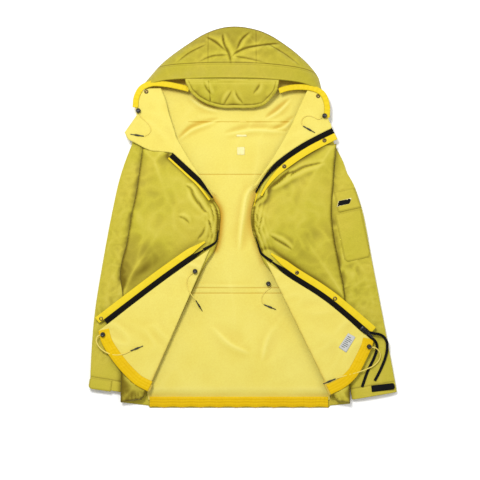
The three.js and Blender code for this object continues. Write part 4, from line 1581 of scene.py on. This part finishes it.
BADGE = ((0.09, 0.19), (0.53, 0.31), (0.61, 0.56), (0.14, 0.43))
POCKET = (
    # name, node, body, lift above the sleeve and thickness in millimetres
    ("pocket_cloth", "sleeve_pocket", "right_sleeve_body", 0.9, 1.0),
    ("pocket_flap_cloth", "pocket_flap", "pocket_flap_body", 2.6, 1.2),
)


def add_pocket():
    sleeve = heights_over(RIGHT_SLEEVE)
    edge = smooth_outline(plan("right_sleeve"))
    for name, node_name, body, lift, thickness in POCKET:
        outline = kept_inside(even_loop(plan(node_name)), edge)
        patch(name, outline, sleeve, lift, SHELL, body, "shell", node_name, lines=[inset(outline, 3 * MM)],
              thickness=thickness)
    badge = even_loop(placed("pocket_flap", BADGE))
    patch("badge_border", badge, sleeve, 3.0, PRINT, "pocket_flap_body", "label")
    centre = badge.mean(0)
    inner = centre + (badge - centre) * (0.93, 0.86)
    patch("badge_patch", inner, sleeve, 3.3, WEBBING, "pocket_flap_body", "label")


def flat_at(z):
    """height(x, y) of a flat level."""
    return lambda x, y: np.full(np.shape(x), z)


def add_cuff_tabs():
    for side, finish, slot in (("left", SHELL, "shell"), ("right", WEBBING, "webbing")):
        node_name = side + "_cuff_tab"
        outline = even_loop(plan(node_name))
        patch(node_name + "_cloth", outline, flat_at(top(node_name)), -0.5, finish, side + "_tab", slot,
              node_name, lines=[inset(outline, 2.6 * MM)], thickness=1.6)


add_pocket()
add_cuff_tabs()


# ---- Labels and prints, left plain ----

CARE_LABEL = ((0.763, 0.460), (0.831, 0.430), (0.745, 0.314), (0.674, 0.353))
NECK_MARKS = {
    "neck_bar": ((0.488, 1.032), (0.542, 1.032), (0.542, 1.024), (0.488, 1.024)),
    "neck_block": ((0.491, 0.984), (0.532, 0.984), (0.532, 0.953), (0.491, 0.953)),
}


def add_care_label():
    """A plain label with bars in place of its print."""
    corners = placed("right_flap", CARE_LABEL)
    patch("care_label", even_loop(corners), RIGHT.turned_height, 0.9, LABEL, "right_front_turned", "label",
          thickness=0.4)
    across = corners[1] - corners[0]
    down = corners[3] - corners[0]
    for k in range(7):
        start = corners[0] + 0.14 * across + (0.16 + 0.11 * k) * down
        end = start + (0.72 if k % 3 else 0.5) * across
        width = 0.035 * down
        bar = even_loop(np.array([start, end, end + width, start + width]))
        patch(f"care_mark_{k + 1}", bar, RIGHT.turned_height, 1.6, INK, "right_front_turned", "label",
              thickness=0.2)


def add_neck_marks():
    for name, corners in NECK_MARKS.items():
        points, faces = cut(even_loop(placed("back_lining", corners)), (), PATCH_GRID)
        x, y = points.T
        verts = np.column_stack([x, y, lining_height(x, y) + 0.5 * MM])
        finish_piece(make(name, verts, faces, (PRINT, PRINT), 0.2 * MM), HOOD_BEND, "label")


add_care_label()
add_neck_marks()


# ---- Hood rims and their snaps, hanger loop ----

RIMS = {
    "left": ((0.21, 0.61), (0.23, 0.81), (0.33, 1.00), (0.52, 1.09), (0.79, 1.08), (1.09, 1.02),
             (1.24, 0.98)),
    "right": ((-0.13, 0.99), (0.08, 1.05), (0.36, 1.07), (0.64, 1.03), (0.82, 0.92), (0.91, 0.70),
              (0.91, 0.42)),
}


def rim_section(across, along):
    """The height of the elastic edge of the face opening, gathered into small scallops."""
    turn = along / (13 * MM) * 2 * math.pi + 3 * noise(along / (30 * MM), across, 140)
    scallop = 0.5 + 0.5 * np.cos(turn)
    return (0.6 + (1.6 + 1.0 * scallop) * rounded(across / RIM_HALF, 4)) * MM


def add_rims():
    for side, rim in RIMS.items():
        line = spline(placed(side + "_hood_side", rim), 1.2 * MM)
        piece = ribbon_strip(side + "_hood_rim", line, flat_at(TURNED_LEVEL + 1.2 * MM), RIM_HALF,
                             rim_section, (FACING, FACING), 1.2 * MM, 14)
        finish_piece(piece, "hood", "facing")


HOOD_SNAPS = {
    "left": ("left_hood_side", 0.42, 0.93),
    "right": ("right_hood_side", 0.72, 0.88),
}


def add_hood_snaps():
    for side, (node_name, across, up) in HOOD_SNAPS.items():
        place = (*at(node_name, across, up), TURNED_LEVEL + 0.4 * MM)
        piece = snap_cap(side + "_hood_snap", place)
        finish_piece(piece, "hood", "snap")


def add_hanger_loop():
    low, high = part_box("hanger_loop")
    half = (high.x - low.x) / 2
    rise = high.z - low.z - 0.6 * MM

    def point(u, v):
        turn = math.pi * (1 - v)
        x = (low.x + high.x) / 2 + half * np.cos(turn)
        y = low.y + (high.y - low.y) * u + 1.2 * MM * np.sin(turn)
        return np.column_stack([x, y, low.z + 0.6 * MM + rise * np.sin(turn)])

    verts, faces = surface(8, 60, point)
    piece = make("hanger_tape", verts, facing_up(verts, faces), (CORD, CORD), 1.0 * MM)
    finish_piece(piece, "hood", "cord", "hanger_loop")


add_rims()
add_hood_snaps()
add_hanger_loop()


# ---- Slider, pull and ribbons ----

# Ribbon routes in millimetres, each ending flat at a level just above the flap that they slide over.
RIBBONS = {
    "pull_ribbon_1": [
        (338.8, -321.2, 36), (349, -330, 36), (359, -338, 35.4), (366, -351, 26), (366, -366, 21.8),
        (359, -387, 21.4), (341, -425, 21.4), (326, -467, 21.4),
    ],
    "pull_ribbon_2": [
        (344.6, -316.4, 36), (357, -319, 36), (373, -322, 33), (386, -330, 26.5), (394, -344, 22),
        (395, -362, 21.4), (390, -386, 21.4), (377, -419, 21.4), (361, -450, 21.4),
    ],
}


def moulded(node_name, finish, bevel):
    """A hard piece with the node's own shape and softened edges."""
    mesh = node_mesh(node_name)
    bmesh.ops.dissolve_limit(mesh, angle_limit=0.02, verts=mesh.verts, edges=mesh.edges)
    data = bpy.data.meshes.new(node_name + "_cast")
    mesh.to_mesh(data)
    mesh.free()
    data.materials.append(finish)
    piece = new_object(node_name + "_cast", data)
    bevel_edges(piece, bevel, 3, math.radians(30))
    return piece


def add_ribbon(name, route):
    """A flat woven tape along its route, with a rib along each edge."""
    points = spline(np.array(route) * MM + (0, 0, RIBBON_THICKNESS / 2), 1.2 * MM)
    side = unit(np.cross(unit(np.gradient(points, axis=0)), [0, 0, 1.0]))
    rows = len(points) - 1

    def point(u, v):
        k = np.round(v * rows).astype(int)
        across = (2 * u - 1)[:, None] * RIBBON_WIDTH / 2
        rib = 0.25 * MM * np.cos((2 * u - 1) * 3 * math.pi) ** 2
        return points[k] + across * side[k] + np.column_stack([0 * u, 0 * u, RIBBON_THICKNESS / 2 + rib])

    verts, faces = surface(10, rows, point)
    piece = make(name + "_tape", verts, facing_up(verts, faces), (WEBBING, WEBBING), RIBBON_THICKNESS)
    finish_piece(piece, "slider", "webbing", name)
    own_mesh(piece)


finish_piece(moulded("zip_slider", METAL, 0.5 * MM), "slider", "slider", "zip_slider")
finish_piece(moulded("zip_pull", METAL, 0.3 * MM), "pull", "slider", "zip_pull")
for name, route in RIBBONS.items():
    add_ribbon(name, route)


# ---- Zips and plackets running out along the bunched edges ----

def add_tail(side, name, line, width, finish, slot, lift):
    """A zip or placket that narrows away along the bunched edge, from width to nearly nothing."""
    def reach(v):
        return width / 2 * (1 - 0.75 * v)

    def profile(across, along):
        return np.full(np.shape(across), lift * MM)

    piece = ribbon_strip(f"{side.name}_{name}", line, side.front_height, reach, profile, (finish, finish),
                         1.5 * MM, 8)
    finish_piece(piece, "torso", slot)


def edge_run(side, zip_line, share):
    """A line that leaves a zip a little before its last point and bends smoothly onto the free edge."""
    last = zip_line[-1, :2]
    near_start = np.linalg.norm(side.free[0] - last) < np.linalg.norm(side.free[-1] - last)
    edge = side.free if near_start else side.free[::-1]
    middle_of_front = side.front.mean(0)
    beside = [offset(edge, distance) for distance in (4 * MM, -4 * MM)]
    inward = min(beside, key=lambda points: np.linalg.norm(points - middle_of_front, axis=1).mean())
    zip_run = evenly(zip_line[:, :2], LINE_STEP)
    edge_points = evenly(inward, LINE_STEP)
    short = int(ZIP_SHORT / LINE_STEP)
    start = zip_run[-1 - short]
    before = zip_run[-1 - 2 * short]
    along_edge = edge_points[int(TAIL_JOINS / LINE_STEP):int(share * len(edge_points)):8]
    line = spline(np.vstack([before, start, along_edge]), 1.5 * MM)
    return line[np.linalg.norm(line - start, axis=1).argmin():]


add_tail(LEFT, "zip_tail_lower", edge_run(LEFT, LEFT.zip_lower[::-1], 0.45), 9 * MM, ZIP_TAPE, "zip", 2.2)
add_tail(RIGHT, "zip_tail_lower", edge_run(RIGHT, RIGHT.zip_lower[::-1], 0.42), 9 * MM, ZIP_TAPE, "zip", 2.2)
add_tail(RIGHT, "placket_tail_upper", edge_run(RIGHT, RIGHT.zip_upper, 0.28), 6 * MM, FACING, "facing", 1.6)


def add_sliver():
    """The thin strip of facing that shows below the left upper zip."""
    line = LEFT.zip_upper
    beside = [offset(line, side * (ZIP_WIDTH / 2 + 2.5 * MM)) for side in (1, -1)]
    lower = min(beside, key=lambda points: points[:, 1].mean())

    def profile(across, along):
        return 0.4 * MM * rounded(across / (3 * MM))

    piece = ribbon_strip("left_facing_sliver", lower, LEFT.turned_height, 3 * MM, profile, (FACING, SHELL),
                         2 * MM, 6)
    finish_piece(piece, "torso", "facing")


add_sliver()
